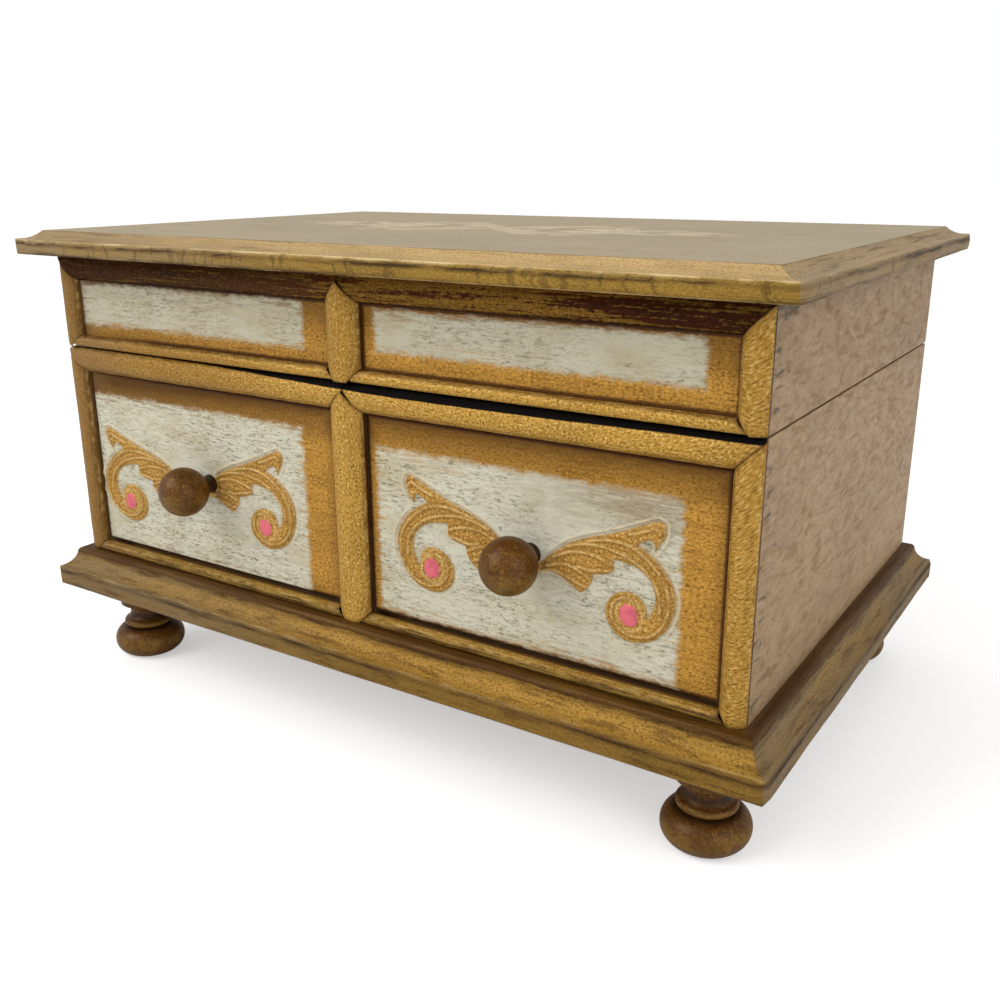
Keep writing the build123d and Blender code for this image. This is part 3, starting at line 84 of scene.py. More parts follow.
def tone(name, description, *display):
    """A colour property with its default in the eight-bit values that a display shows."""
    return FloatVectorProperty(
        name=name, description=description, default=linear(display), size=3, subtype="COLOR", min=0, max=1
    )


def linear(display):
    """Linear colour from eight-bit display values."""
    values = []
    for value in display:
        share = value / 255
        values.append(share / 12.92 if share <= 0.04045 else ((share + 0.055) / 1.055) ** 2.4)
    return tuple(values)


class BoxSizes(bpy.types.PropertyGroup):
    """Sizes of the shaped pieces that the CAD boxes alone don't give."""

    slab_corner: length("Slab corner", "Plan radius of the lid slab's corners", 3.2)
    slab_band: length("Slab band", "Height of the slab's rounded band", 3.9)
    slab_bulge: length("Slab bulge", "How far the band swells", 0.5)
    slab_step: length("Slab step", "Width of the step above the band", 0.3)
    slab_cove: length("Slab cove", "Width of the cove up to the flat top", 5.2)
    base_corner: length("Base corner", "Plan radius of the base board's corners", 3.0)
    base_face: length("Base face", "Height of the base board's upright face", 5.3)
    base_edge: length("Base edge", "Chamfer of the base board's arrises", 0.8)
    base_bead: length("Base bead", "Radius of the bead under the case", 1.4)
    base_overhang: length("Base overhang", "Reach of the base board past the case", 7.0)
    moulding_shoulder: length("Moulding shoulder", "Height of the square side of a moulding", 1.3)
    case_low_rail: length("Case low rail", "Height of the mouldings under the drawers", 2.4)
    case_top_rail: length("Case top rail", "Height of the mouldings above the drawers", 6.4)
    lid_low_rail: length("Lid low rail", "Height of the mouldings at the lid's lower edge", 2.9)
    lid_top_rail: length("Lid top rail", "Height of the mouldings under the slab", 7.0)
    stile_width: length("Stile width", "Width of the corner mouldings", 5.8)
    muntin_width: length("Muntin width", "Width of the middle mouldings", 9.6)
    knob_radius: length("Knob radius", "Radius of the ball knobs", 6.35)
    knob_stem: length("Knob stem", "Radius of the stem behind a knob", 2.7)
    relief_height: length("Relief height", "Height of the carved scrolls", 0.55)
    relief_pitch: length("Relief pitch", "Spacing of points on the carved fronts", 0.25)
    motif_pitch: length("Motif pitch", "Spacing of points under the painted motif", 0.45)


class BoxTones(bpy.types.PropertyGroup):
    """Colours of the finishes."""

    gold: tone("Gold", "Gold paint of the mouldings", 192, 147, 62)
    gold_pale: tone("Pale gold", "Bright specks in the gold", 232, 200, 128)
    gold_dark: tone("Dark gold", "Brown specks in the gold", 108, 70, 16)
    leaf: tone("Leaf", "Gold of the carved scrolls", 190, 142, 64)
    rubbed: tone("Rubbed", "Rubbed arrises and ridges", 236, 214, 160)
    ochre: tone("Ochre", "Border round the white fields", 192, 142, 60)
    umber: tone("Umber", "Dark stain over the gold", 66, 40, 10)
    quirk: tone("Quirk", "Dark red-brown in the quirks", 62, 26, 10)
    nose: tone("Nose", "Olive gold of the slab's band", 158, 124, 52)
    cove: tone("Cove", "Pale gold of the slab's cove", 206, 174, 119)
    # Brown over the left end of the front: painted shade.
    left_shade_brown: tone("Old edge", "Brown of the worn left edge", 132, 100, 62)
    patina: tone("Patina", "Grey-brown of dull edges", 142, 122, 92)
    white: tone("White", "Off-white paint of the fields", 212, 208, 188)
    white_warm: tone("Warm white", "Yellowed patches of the fields", 190, 176, 140)
    grime: tone("Grime", "Dark pores in the white paint", 92, 86, 54)
    rose: tone("Rose", "Pink of the scroll eyes", 226, 112, 124)
    bronze: tone("Bronze", "Bronze paint of the side walls", 172, 142, 105)
    bronze_dark: tone("Dark bronze", "Grain of the side walls", 118, 86, 54)
    top: tone("Top", "Bronze paint of the slab's top", 184, 166, 132)
    cream: tone("Cream", "Painted motif and raised outlines", 224, 208, 172)
    blush: tone("Blush", "Pink of the painted motif", 206, 156, 132)
    maroon: tone("Maroon", "Dark paint of the lid's top rails", 58, 18, 12)
    knob: tone("Knob", "Brown of the knobs and feet", 104, 66, 22)
    wood: tone("Wood", "Bare wood inside", 176, 134, 88)
    velvet: tone("Velvet", "Lining pile", 118, 22, 34)
    brass: tone("Brass", "Brass parts", 196, 160, 92)
    steel: tone("Steel", "Steel parts", 168, 168, 170)


class BoxStage(bpy.types.PropertyGroup):
    """Camera and light."""

    camera_place: FloatVectorProperty(
        name="Camera place",
        description="Where the camera stands",
        default=(0.16123, -0.24398, 0.1406),
        subtype="TRANSLATION",
        unit="LENGTH",
        precision=5,
    )
    camera_yaw: angle("Yaw", "Turn of the camera from +Y", 33.065)
    camera_pitch: angle("Pitch", "Fall of the camera", 17.452)
    camera_roll: angle("Roll", "Roll of the camera", -0.243)
    lens: number("Lens", "Focal length in millimetres", 38.316, min=10, max=200)
    shift_x: number("Shift X", "Lens shift across", 0.00165)
    shift_y: number("Shift Y", "Lens shift up", -0.0013)
    sky: number("Sky", "Strength of the even light", 0.62, min=0)
    key: number("Key", "Power of the large light, in watts", 5.5, min=0)
    fill: number("Fill", "Power of the second light, in watts", 2.2, min=0)


def mm(name):
    """One of the box's sizes, in millimetres."""
    return getattr(bpy.context.scene.box_sizes, name) / MM


def span(node):
    """Low and high corner of a CAD node, in millimetres."""
    low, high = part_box(node)
    return np.array(low) / MM, np.array(high) / MM


class Shell:
    """Grids of points gathered into the mesh of one piece."""

    def __init__(self):
        self.points = []
        self.faces = []
        self.places = []
        self.coats = []
        self.fields = {}
        self.count = 0

    def grid(self, points, around=False, u=None, v=None, flip=False, coat=0, **fields):
        """Adds rows by columns of points.

        Around joins the last row to the first, u and v are map places, coat is the number of the piece's
        material, and fields are values stored on the points.
        """
        rows, columns = points.shape[:2]
        ends = rows if around else rows - 1
        number = np.arange(rows * columns).reshape(rows, columns) + self.count
        after = np.roll(number, -1, axis=0)[:ends]
        here = number[:ends]
        corners = [here[:, :-1], after[:, :-1], after[:, 1:], here[:, 1:]]
        u = np.arange(rows + 1.0) if u is None else np.asarray(u, float)
        v = np.arange(float(columns)) if v is None else np.asarray(v, float)
        if len(u) == rows:
            u = np.append(u, 2 * u[-1] - u[-2])
        low_u, low_v = np.meshgrid(u[:ends], v[:-1], indexing="ij")
        high_u, high_v = np.meshgrid(u[1 : ends + 1], v[1:], indexing="ij")
        places = [(low_u, low_v), (high_u, low_v), (high_u, high_v), (low_u, high_v)]
        if flip:
            corners = corners[::-1]
            places = places[::-1]
        faces = np.stack([c.ravel() for c in corners], axis=1)
        self.faces.append(faces)
        self.places.append(np.stack([np.stack([a.ravel(), b.ravel()], axis=1) for a, b in places], axis=1))
        self.coats.append(np.full(len(faces), coat))
        self.points.append(points.reshape(-1, 3))
        for name in set(self.fields) | set(fields):
            known = self.fields.setdefault(name, [np.zeros(self.count)])
            known.append(np.broadcast_to(fields.get(name, 0.0), (rows, columns)).ravel())
        self.count += rows * columns

    def piece(self, name, node, body, slot, materials, sharp=40.0):
        """Makes the object, in place of its CAD node and riding on its CAD body."""
        points = np.concatenate(self.points) * MM
        faces = np.concatenate(self.faces)
        mesh = bpy.data.meshes.new(name)
        mesh.from_pydata(points.tolist(), [], faces.tolist())
        mesh.polygons.foreach_set("use_smooth", np.ones(len(faces), bool))
        mesh.polygons.foreach_set("material_index", np.concatenate(self.coats).astype(np.int32))
        chart = mesh.uv_layers.new(name="Chart")
        chart.data.foreach_set("uv", np.concatenate(self.places).astype(np.float32).ravel())
        for title, values in self.fields.items():
            layer = mesh.attributes.new(title, "FLOAT", "POINT")
            layer.data.foreach_set("value", np.concatenate(values).astype(np.float32))
        mesh.update()
        mesh.set_sharp_from_angle(angle=math.radians(sharp))
        for material in materials:
            mesh.materials.append(material)
        made = bpy.data.objects.new(name, mesh)
        bpy.context.scene.collection.objects.link(made)
        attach(made, body)
        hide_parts(node)
        return made


def arc(start, middle, end, count):
    """Points of the circle through three points, from the first to the last."""
    a, b, c = (np.asarray(p, float) for p in (start, middle, end))
    d = 2 * (a[0] * (b[1] - c[1]) + b[0] * (c[1] - a[1]) + c[0] * (a[1] - b[1]))
    squares = [p @ p for p in (a, b, c)]
    x = (squares[0] * (b[1] - c[1]) + squares[1] * (c[1] - a[1]) + squares[2] * (a[1] - b[1])) / d
    y = (squares[0] * (c[0] - b[0]) + squares[1] * (a[0] - c[0]) + squares[2] * (b[0] - a[0])) / d
    centre = np.array([x, y])
    angles = [math.atan2(*(p - centre)[::-1]) for p in (a, b, c)]
    turn = (angles[2] - angles[0]) % (2 * math.pi)
    if (angles[1] - angles[0]) % (2 * math.pi) > turn:
        turn -= 2 * math.pi
    sweep = angles[0] + turn * np.linspace(0, 1, count)
    radius = np.linalg.norm(a - centre)
    return centre + radius * np.stack([np.cos(sweep), np.sin(sweep)], axis=1)


def path(*parts):
    """One line of points from several, without the doubled ends."""
    rows = [np.atleast_2d(np.asarray(parts[0], float))]
    for part in parts[1:]:
        part = np.atleast_2d(np.asarray(part, float))
        if np.allclose(rows[-1][-1], part[0]):
            part = part[1:]
        rows.append(part)
    return np.concatenate(rows)


def run(points):
    """Distance along a line of points."""
    steps = np.linalg.norm(np.diff(points, axis=0), axis=1)
    return np.concatenate([[0.0], np.cumsum(steps)])


def smooth(low, high, value):
    """Soft step from 0 at low to 1 at high."""
    share = np.clip((value - low) / (high - low), 0, 1)
    return share * share * (3 - 2 * share)


def bell(value, spread):
    """Bell curve, 1 at nought: e to the power of minus the value's square over the spread."""
    return np.exp(-(value**2) / spread)


def waver(u, v, seed=0.0):
    """Slow unevenness of hand-worked wood: three sines of unlike pace, from -1 to 1."""
    first = np.sin(u * 0.11 + 1.7 * seed) * np.cos(v * 0.23 + seed)
    second = np.sin(u * 0.31 + 2.3 * seed + 0.6) * 0.5
    third = np.sin(u * 0.83 + v * 0.4 + 4.1 * seed) * 0.25
    return (first + second + third) / 1.75


def plan_ring(half_x, half_y, radius):
    """Rounded rectangle walked anticlockwise from the left end of the front side."""
    per_side, per_corner = 60, 7
    corners = ((1, -1, -90), (1, 1, 0), (-1, 1, 90), (-1, -1, 180))
    rows = []
    for index, (side_x, side_y, start) in enumerate(corners):
        previous = corners[index - 1]
        centre = np.array([side_x * (half_x - radius), side_y * (half_y - radius)])
        old = np.array([previous[0] * (half_x - radius), previous[1] * (half_y - radius)])
        begin = math.radians(start)
        out = radius * np.array([math.cos(begin), math.sin(begin)])
        share = np.linspace(0, 1, per_side + 1)[1:-1, None]
        rows.append((old + out) * (1 - share) + (centre + out) * share)
        angles = begin + np.linspace(0, math.pi / 2, per_corner)
        rows.append(centre + radius * np.stack([np.cos(angles), np.sin(angles)], axis=1))
    return np.concatenate(rows)


def moulded_edge(shell, low, high, profile, corner, seed, uneven, **fields):
    """Edge moulding swept round a board: at each plan point the profile gives inset and height.

    The plan's corner radius shrinks with the inset, so the inner members meet in a mitre. A slow waver draws
    the outer margin of the board in, by no more than the unevenness.
    """
    middle = (low + high) / 2
    half = (high - low) / 2
    sharp_inset = 0.29 * corner
    margin = 8.0
    rings = []
    for inset, height in profile:
        radius = max(corner * (1 - inset / sharp_inset), 0.2)
        ring = plan_ring(half[0] - inset, half[1] - inset, radius)
        rings.append(np.column_stack([ring + middle[:2], np.full(len(ring), low[2] + height)]))
    points = np.stack(rings, axis=1)
    around = run(points[:, 0])
    around = np.append(around, around[-1] + np.linalg.norm(points[0, 0] - points[-1, 0]))
    across = run(np.asarray(profile))
    u, v = np.meshgrid(around[:-1], across, indexing="ij")
    towards = points[:, :, :2] - middle[:2]
    towards = towards / np.maximum(np.abs(towards), 1e-6) * (np.abs(towards) > half[:2] - margin)
    points[:, :, :2] -= towards * (uneven * 0.5 * (1 + waver(u, v, seed)))[:, :, None]
    rows = {name: np.broadcast_to(value, u.shape) for name, value in fields.items()}
    shell.grid(points, around=True, u=around, v=across, flip=True, **rows)


def flat_sheet(shell, low, high, inset, level, flip, coat):
    """Rectangle of a board's plan, drawn in by the inset, at one height."""
    corners = np.array([[[-1, -1], [-1, 1]], [[1, -1], [1, 1]]]) * ((high - low) / 2 - inset)[:2]
    plan = corners + ((low + high) / 2)[:2]
    shell.grid(np.dstack([plan, np.full((2, 2), level)]), flip=flip, coat=coat)


def turned(shell, outline, centre, axis, **fields):
    """Surface of revolution: each radius and height of the outline carried round an axis."""
    angles = np.linspace(0, 2 * math.pi, ROUND, endpoint=False)
    radius, height = outline[:, 0], outline[:, 1]
    circle = np.stack([np.cos(angles), np.sin(angles)], axis=1)
    flat = circle[:, None, :] * radius[None, :, None]
    level = np.broadcast_to(height, (ROUND, len(height)))
    if axis == "z":
        points = np.stack([flat[..., 0], flat[..., 1], level], axis=2)
    else:
        points = np.stack([flat[..., 0], -level, flat[..., 1]], axis=2)
    around = np.append(angles, 2 * math.pi) * radius.max()
    shell.grid(points + centre, around=True, u=around, v=run(outline), flip=axis == "z", **fields)


def rounded_block(shell, low, high, radius):
    """Box with rounded edges: its skin stands the radius out from the nearest points of a smaller box."""
    low, high = np.asarray(low, float), np.asarray(high, float)
    radius = min(radius, (high - low).min() / 2 - 0.01)
    lines = []
    for a, b in zip(low, high):
        ease = np.array([0, 0.25, 0.6, 1.0]) * radius
        inner = np.linspace(a + radius, b - radius, 5)[1:-1]
        lines.append(np.concatenate([a + ease, inner, (b - ease)[::-1]]))
    for axis in range(3):
        first, second = (axis + 1) % 3, (axis + 2) % 3
        for value, flip in ((low[axis], True), (high[axis], False)):
            p, q = np.meshgrid(lines[first], lines[second], indexing="ij")
            skin = np.empty((*p.shape, 3))
            skin[..., axis] = value
            skin[..., first] = p
            skin[..., second] = q
            core = np.clip(skin, low + radius, high - radius)
            away = skin - core
            away /= np.linalg.norm(away, axis=2, keepdims=True)
            shell.grid(core + radius * away, u=lines[first], v=lines[second], flip=flip)


class Wire:
    """A socket of a node tree, with arithmetic that adds Math nodes."""

    def __init__(self, tree, socket):
        self.tree = tree
        self.socket = socket

    def math(self, operation, *others, clamp=False):
        """A Math node fed by this socket and others."""
        node = self.tree.nodes.new("ShaderNodeMath")
        node.operation = operation
        node.use_clamp = clamp
        for place, value in enumerate((self, *others)):
            feed(self.tree, node.inputs[place], value)
        return Wire(self.tree, node.outputs[0])

    def __add__(self, other):
        return self.math("ADD", other)

    __radd__ = __add__

    def __mul__(self, other):
        return self.math("MULTIPLY", other)

    __rmul__ = __mul__

    def __sub__(self, other):
        return self.math("SUBTRACT", other)

    def __rsub__(self, other):
        return self * -1.0 + other

    def __abs__(self):
        return self.math("ABSOLUTE")

    def over(self, other):
        """The larger of two values."""
        return self.math("MAXIMUM", other)

    def under(self, other):
        """The smaller of two values."""
        return self.math("MINIMUM", other)

    def kept(self):
        """Held between 0 and 1."""
        return self.math("ADD", 0.0, clamp=True)


def feed(tree, socket, value):
    """Links a wire into a socket, or sets the socket's own value."""
    if isinstance(value, Wire):
        tree.links.new(value.socket, socket)
    elif isinstance(value, (tuple, list)) and socket.type == "RGBA" and len(value) == 3:
        socket.default_value = (*value, 1.0)
    else:
        socket.default_value = value


class Recipe:
    """The node tree of one material, round a single surface shader."""

    def __init__(self, name, **constants):
        self.material = bpy.data.materials.new(name)
        self.material.use_nodes = True
        self.tree = self.material.node_tree
        self.shader = next(n for n in self.tree.nodes if n.type == "BSDF_PRINCIPLED")
        for title, value in constants.items():
            feed(self.tree, self.shader.inputs[title.replace("_", " ")], value)

    def node(self, kind, choices=None, values=None, output=0):
        """Any node: its type, then its settings, then what goes into its sockets."""
        made = self.tree.nodes.new(kind)
        for title, value in (choices or {}).items():
            setattr(made, title, value)
        for title, value in (values or {}).items():
            feed(self.tree, made.inputs[title], value)
        return Wire(self.tree, made.outputs[output])

    def place(self):
        """Object coordinates in millimetres."""
        found = self.node("ShaderNodeTexCoord", output="Object")
        return self.node("ShaderNodeVectorMath", {"operation": "SCALE"}, {0: found, "Scale": 1 / MM})

    def chart(self):
        """The piece's own map, in millimetres."""
        return self.node("ShaderNodeUVMap", {"uv_map": "Chart"})

    def axes(self, vector):
        """The three parts of a vector."""
        made = self.tree.nodes.new("ShaderNodeSeparateXYZ")
        feed(self.tree, made.inputs[0], vector)
        return [Wire(self.tree, out) for out in made.outputs]

    def vector(self, x, y, z):
        """A vector from three parts."""
        return self.node("ShaderNodeCombineXYZ", None, {0: x, 1: y, 2: z})

    def field(self, name):
        """A value stored on the mesh."""
        return self.node("ShaderNodeAttribute", {"attribute_name": name}, output="Fac")

    def noise(self, vector, pace, detail=3.0, rough=0.55, bend=0.0, seed=0.0):
        """Noise with its own pace per millimetre on each axis."""
        moved = self.node(
            "ShaderNodeVectorMath",
            {"operation": "MULTIPLY_ADD"},
            {0: vector, 1: tuple(pace), 2: (seed, seed * 1.7, seed * 2.3)},
        )
        values = {"Vector": moved, "Scale": 1.0, "Detail": detail, "Roughness": rough, "Distortion": bend}
        return self.node("ShaderNodeTexNoise", None, values, "Fac")

    def step(self, value, low, high):
        """Soft step from 0 at low to 1 at high."""
        choices = {"interpolation_type": "SMOOTHSTEP", "clamp": True}
        falls = float(low > high)
        values = {"Value": value, "From Min": min(low, high), "From Max": max(low, high)}
        values.update({"To Min": falls, "To Max": 1.0 - falls})
        return self.node("ShaderNodeMapRange", choices, values)

    def mix(self, share, first, second):
        """Two colours mixed."""
        made = self.tree.nodes.new("ShaderNodeMix")
        made.data_type = "RGBA"
        made.clamp_factor = True
        feed(self.tree, made.inputs["Factor"], share)
        sockets = [s for s in made.inputs if s.type == "RGBA"]
        feed(self.tree, sockets[0], first)
        feed(self.tree, sockets[1], second)
        return Wire(self.tree, next(s for s in made.outputs if s.type == "RGBA"))

    def bump(self, height, millimetres, strength):
        """Bump whose full height is given in millimetres."""
        values = {"Height": height, "Distance": millimetres * MM, "Strength": strength}
        return self.node("ShaderNodeBump", None, values)

    def done(self, colour, roughness, normal=None, metallic=None, coat=None):
        """Feeds the shader and returns the material."""
        values = {"Base Color": colour, "Roughness": roughness, "Normal": normal}
        values.update({"Metallic": metallic, "Coat Weight": coat})
        for title, value in values.items():
            if value is not None:
                feed(self.tree, self.shader.inputs[title], value)
        return self.material


def colour(name, share=1.0):
    """One of the finish colours, darker or lighter by a factor."""
    return shade(getattr(bpy.context.scene.box_tones, name), share)


def shade(first, share):
    """A colour made darker or lighter by a factor."""
    return tuple(min(max(part * share, 0.0), 1.0) for part in first)


def gilding(r, at, base, dark, pale, pace, stipple, streak=0.3):
    """Colour and height of gold paint over grained wood: fine specks, brush lines and cloudy patches.

    Pace is the number of specks per millimetre along and across the grain, and stipple and streak are how
    strongly the specks and the brush lines show.
    """
    specks = r.noise(at, (pace[0], pace[1], pace[1]), 2.0, 0.6, seed=3.0)
    lines = r.noise(at, (0.12, 1.5, 1.5), 4.0, 0.65)
    clouds = r.noise(at, (0.07, 0.14, 0.14), 3.0, 0.55, seed=5.0)
    mixed = r.mix(r.step(clouds, 0.4, 0.64) * 0.4, base, shade(base, 0.66))
    mixed = r.mix(r.step(lines, 0.5, 0.68) * streak, mixed, dark)
    mixed = r.mix(r.step(specks, 0.5, 0.68) * stipple, mixed, dark)
    mixed = r.mix(r.step(specks, 0.47, 0.3) * stipple, mixed, pale)
    return mixed, specks * 0.7 + lines * 0.3


def moulding_paint(name, hairs, brown, seam):
    """Gold of the applied mouldings.

    Hairs sets short strokes across the bar, brown is the share of its width with a dark stain at the outer
    edge, and seam is the share painted black there as the shadow of the gap under the lid, widest
    to the right of the muntin.
    """
    r = Recipe(name, Specular_IOR_Level=0.14)
    at = r.chart()
    x, _, z = r.axes(r.place())
    pace = (2.3, 0.85) if hairs else (1.7, 2.0)
    mixed, height = gilding(r, at, colour("gold"), colour("gold_dark"), colour("gold_pale"), pace, 0.75)
    inner = r.field("inner")
    patches = r.noise(at, (0.12, 0.6, 0.6), 4.0, 0.65, seed=11.0)
    # Darker towards the left end of the front: painted shade; the right stile is a little darker too.
    shaded = r.step(x, -6.0, -46.0) * 0.42 + r.step(x, 88.0, 96.0) * 0.16
    left = r.step(x, -60.0, -96.0)
    # The lid's muntin is darker where it runs under the slab: painted shade.
    muntin_slab_shade = r.step(z, 92.0, 96.0) * r.step(abs(x), 8.0, 5.0)
    mixed = r.mix(shaded + muntin_slab_shade * 0.22, mixed, colour("gold_dark"))
    # The left end of the mouldings goes brown: painted shade.
    mixed = r.mix(left * 0.6, mixed, colour("left_shade_brown"))
    streaks = r.noise(at, (0.08, 1.8, 1.8), 4.0, 0.65, seed=23.0)
    if brown:
        stain = r.step(inner + (patches - 0.5) * 0.3, brown + 0.12, brown - 0.12)
        dark = r.mix(r.step(streaks, 0.42, 0.6), colour("umber", 0.7), colour("nose", 0.8))
        mixed = r.mix(stain * (0.88 - left * 0.4), mixed, dark)
        mixed = r.mix(r.step(inner, brown, brown + 0.3) * 0.8, mixed, colour("ochre", 0.8))
    else:
        stain = r.step(inner + (streaks - 0.5) * 0.5, 0.78, 1.0)
        mixed = r.mix(stain * 0.6, mixed, colour("gold_dark", 0.7))
    rub = r.noise(at, (0.4, 0.8, 0.8), 3.0, seed=14.0)
    mixed = r.mix(r.field("edge") * r.step(rub, 0.46, 0.62) * 0.3, mixed, colour("gold_pale"))
    quirk = r.field("hollow") * (0.75 + r.step(streaks, 0.6, 0.4) * 0.2) * (1.0 - left * 0.85)
    quirk = quirk * (0.6 if brown else 1.0)
    mixed = r.mix(quirk.kept(), mixed, colour("quirk"))
    rough = 0.42 + r.step(height, 0.4, 0.7) * 0.2
    # Black band along the top edge of the case's top rails: painted shadow of the gap under the lid.
    if seam:
        reach = r.step(x, -60.0, 20.0) * seam * (1.0 - r.step(x, 30.0, 100.0) * 0.4)
        black = r.step(inner + (patches - 0.5) * 0.05 - reach, 0.02, -0.02)
        mixed = r.mix(black, mixed, (0.003, 0.002, 0.002))
        rough = rough + black * 0.4
    return r.done(mixed, rough, r.bump(height, 0.14, 0.6), 0.2)


def lid_rail_paint(name):
    """Gold-brown rail with maroon and black paint left in ragged streaks, mostly near the front's ends."""
    r = Recipe(name, Specular_IOR_Level=0.04)
    at = r.chart()
    x = r.axes(r.place())[0]
    maroon = colour("maroon")
    base = colour("ochre", 0.4)
    dim, pale = colour("gold_dark", 0.5), colour("gold", 0.75)
    gold, height = gilding(r, at, base, dim, pale, (1.5, 2.2), 0.6, 0.6)
    left = r.step(x, 6.0, -24.0)
    ends = left * 1.1 + r.step(x, 46.0, 70.0) * 0.7
    chips = r.noise(at, (0.7, 1.5, 1.5), 4.0, 0.75, seed=6.0)
    streaks = r.noise(at, (0.06, 1.3, 1.3), 4.0, 0.65, seed=2.0)
    inner = r.field("inner")
    middle = 1.0 - abs(inner - 0.5) * 2.6
    amount = chips * 0.4 + streaks * 0.6 + ends * 0.1 + middle * 0.05 + 0.02
    dark = r.mix(r.step(streaks, 0.42, 0.6), shade(maroon, 0.3), maroon)
    cover = r.step(amount, 0.55, 0.62) * (0.92 - left * 0.1)
    mixed = r.mix(cover, gold, dark)
    # Brown patches towards the left end of the rail: painted shade.
    mixed = r.mix(left * r.step(chips, 0.5, 0.62) * 0.35, mixed, colour("left_shade_brown"))
    mixed = r.mix(r.step(inner + (chips - 0.5) * 0.2, 0.88, 0.96) * 0.9, mixed, shade(maroon, 0.22))
    mixed = r.mix(r.step(x, -10.0, -60.0) * 0.4 + r.step(x, 60.0, 84.0) * 0.3, mixed, shade(maroon, 0.35))
    mixed = r.mix(r.field("hollow") * 0.9, mixed, shade(maroon, 0.2))
    return r.done(mixed, 0.6 - cover * 0.08, r.bump(height - cover * 0.3, 0.12, 0.6), 0.0)


def board_edge(name, node, upper, lower, patina, stipple, ticks):
    """Paint of a moulded board's edge: gold above, browner gold on the lower band, dull patina at the sides.

    The right side is where the board's right edge is nearer than its front edge, and the back is dull too.
    Ticks draws fine dark checks up and down the band; without them the edge has dark rotten patches.
    """
    low_corner, high_corner = span(node)
    brown, umber = colour("gold_dark"), colour("umber")
    r = Recipe(name, Specular_IOR_Level=0.14)
    at = r.chart()
    x, y, _ = r.axes(r.place())
    band = r.field("band")
    high, height = gilding(r, at, upper, brown, shade(upper, 1.3), (2.0, 2.2), stipple, 0.22)
    low, _ = gilding(r, at, lower, shade(brown, 0.6), shade(lower, 1.5), (2.2, 2.4), 0.5, 0.3)
    mixed = r.mix(band, high, low)
    worn = r.noise(at, (0.05, 0.25, 0.25), 4.0, 0.6, seed=15.0)
    corner = high_corner[0] + low_corner[1]
    right = r.step(x + y, corner - 0.3, corner + 0.3)
    right = right.over(r.step(y, high_corner[1] - 12.0, high_corner[1] - 9.0))
    # Towards the left end of the front the edge goes dull too: painted shade.
    dull = right * 0.8 + r.step(x, 20.0, -85.0) * 0.7 * (1.0 - right)
    dusty = r.mix(right, patina, shade(patina, 1.16))
    mixed = r.mix((dull * (0.6 + r.step(worn, 0.4, 0.6) * 0.4)).kept(), mixed, dusty)
    if not ticks:
        rot = r.noise(at, (0.12, 0.5, 0.5), 4.0, 0.7, seed=37.0)
        mixed = r.mix(r.step(rot, 0.5, 0.64) * 0.5, mixed, umber)
    streaks = r.noise(at, (0.05, 0.9, 0.9), 4.0, 0.65, seed=19.0)
    mixed = r.mix(r.step(streaks, 0.54, 0.66) * (0.2 + dull * 0.35), mixed, umber)
    blots = r.noise(at, (0.07, 0.3, 0.3), 3.0, 0.6, seed=31.0)
    mixed = r.mix(r.step(blots, 0.58, 0.7) * right * 0.5, mixed, colour("patina", 0.4))
    u, v, _ = r.axes(at)
    if ticks:
        shaken = u + r.noise(at, (0.3, 0.6, 0.6), 2.0, seed=4.0) * 3.0
        checks = r.noise(r.vector(shaken, v * 0.15, 0.0), (0.8, 1.0, 1.0), 2.0, 0.5, seed=9.0)
        tick = r.step(checks, 0.58, 0.66) * band
        mixed = r.mix(tick * 0.4, mixed, shade(umber, 0.6))
        height = height - tick * 0.5
    rub = r.noise(at, (0.12, 0.8, 0.8), 4.0, 0.7, seed=12.0)
    rubbing = r.field("edge") * r.step(rub, 0.44, 0.6) * (1.0 - right * 0.7)
    mixed = r.mix(rubbing * (0.7 if ticks else 0.25), mixed, colour("rubbed"))
    stain = r.noise(at, (0.06, 0.4, 0.4), 4.0, 0.7, seed=14.0)
    dark = r.field("hollow") * (0.35 + r.step(stain, 0.44, 0.6) * 0.65)
    mixed = r.mix(dark, mixed, shade(umber, 0.5))
    mixed = r.mix(r.field("stain") * (0.75 + r.step(streaks, 0.4, 0.6) * 0.2), mixed, shade(umber, 1.3))
    return r.done(mixed, 0.46 + r.step(height, 0.4, 0.7) * 0.2, r.bump(height, 0.12, 0.6), 0.14)


def box_distance(x, z, low_x, high_x, low_z, high_z):
    """Distance outside a rectangle, negative inside, in millimetres."""
    across = abs(x - (low_x + high_x) / 2) - (high_x - low_x) / 2
    up = abs(z - (low_z + high_z) / 2) - (high_z - low_z) / 2
    return across.over(up)


def nearest(x, z, rects):
    """Distance to the nearest of several rectangles."""
    found = box_distance(x, z, *rects[0])
    for rect in rects[1:]:
        found = found.under(box_distance(x, z, *rect))
    return found


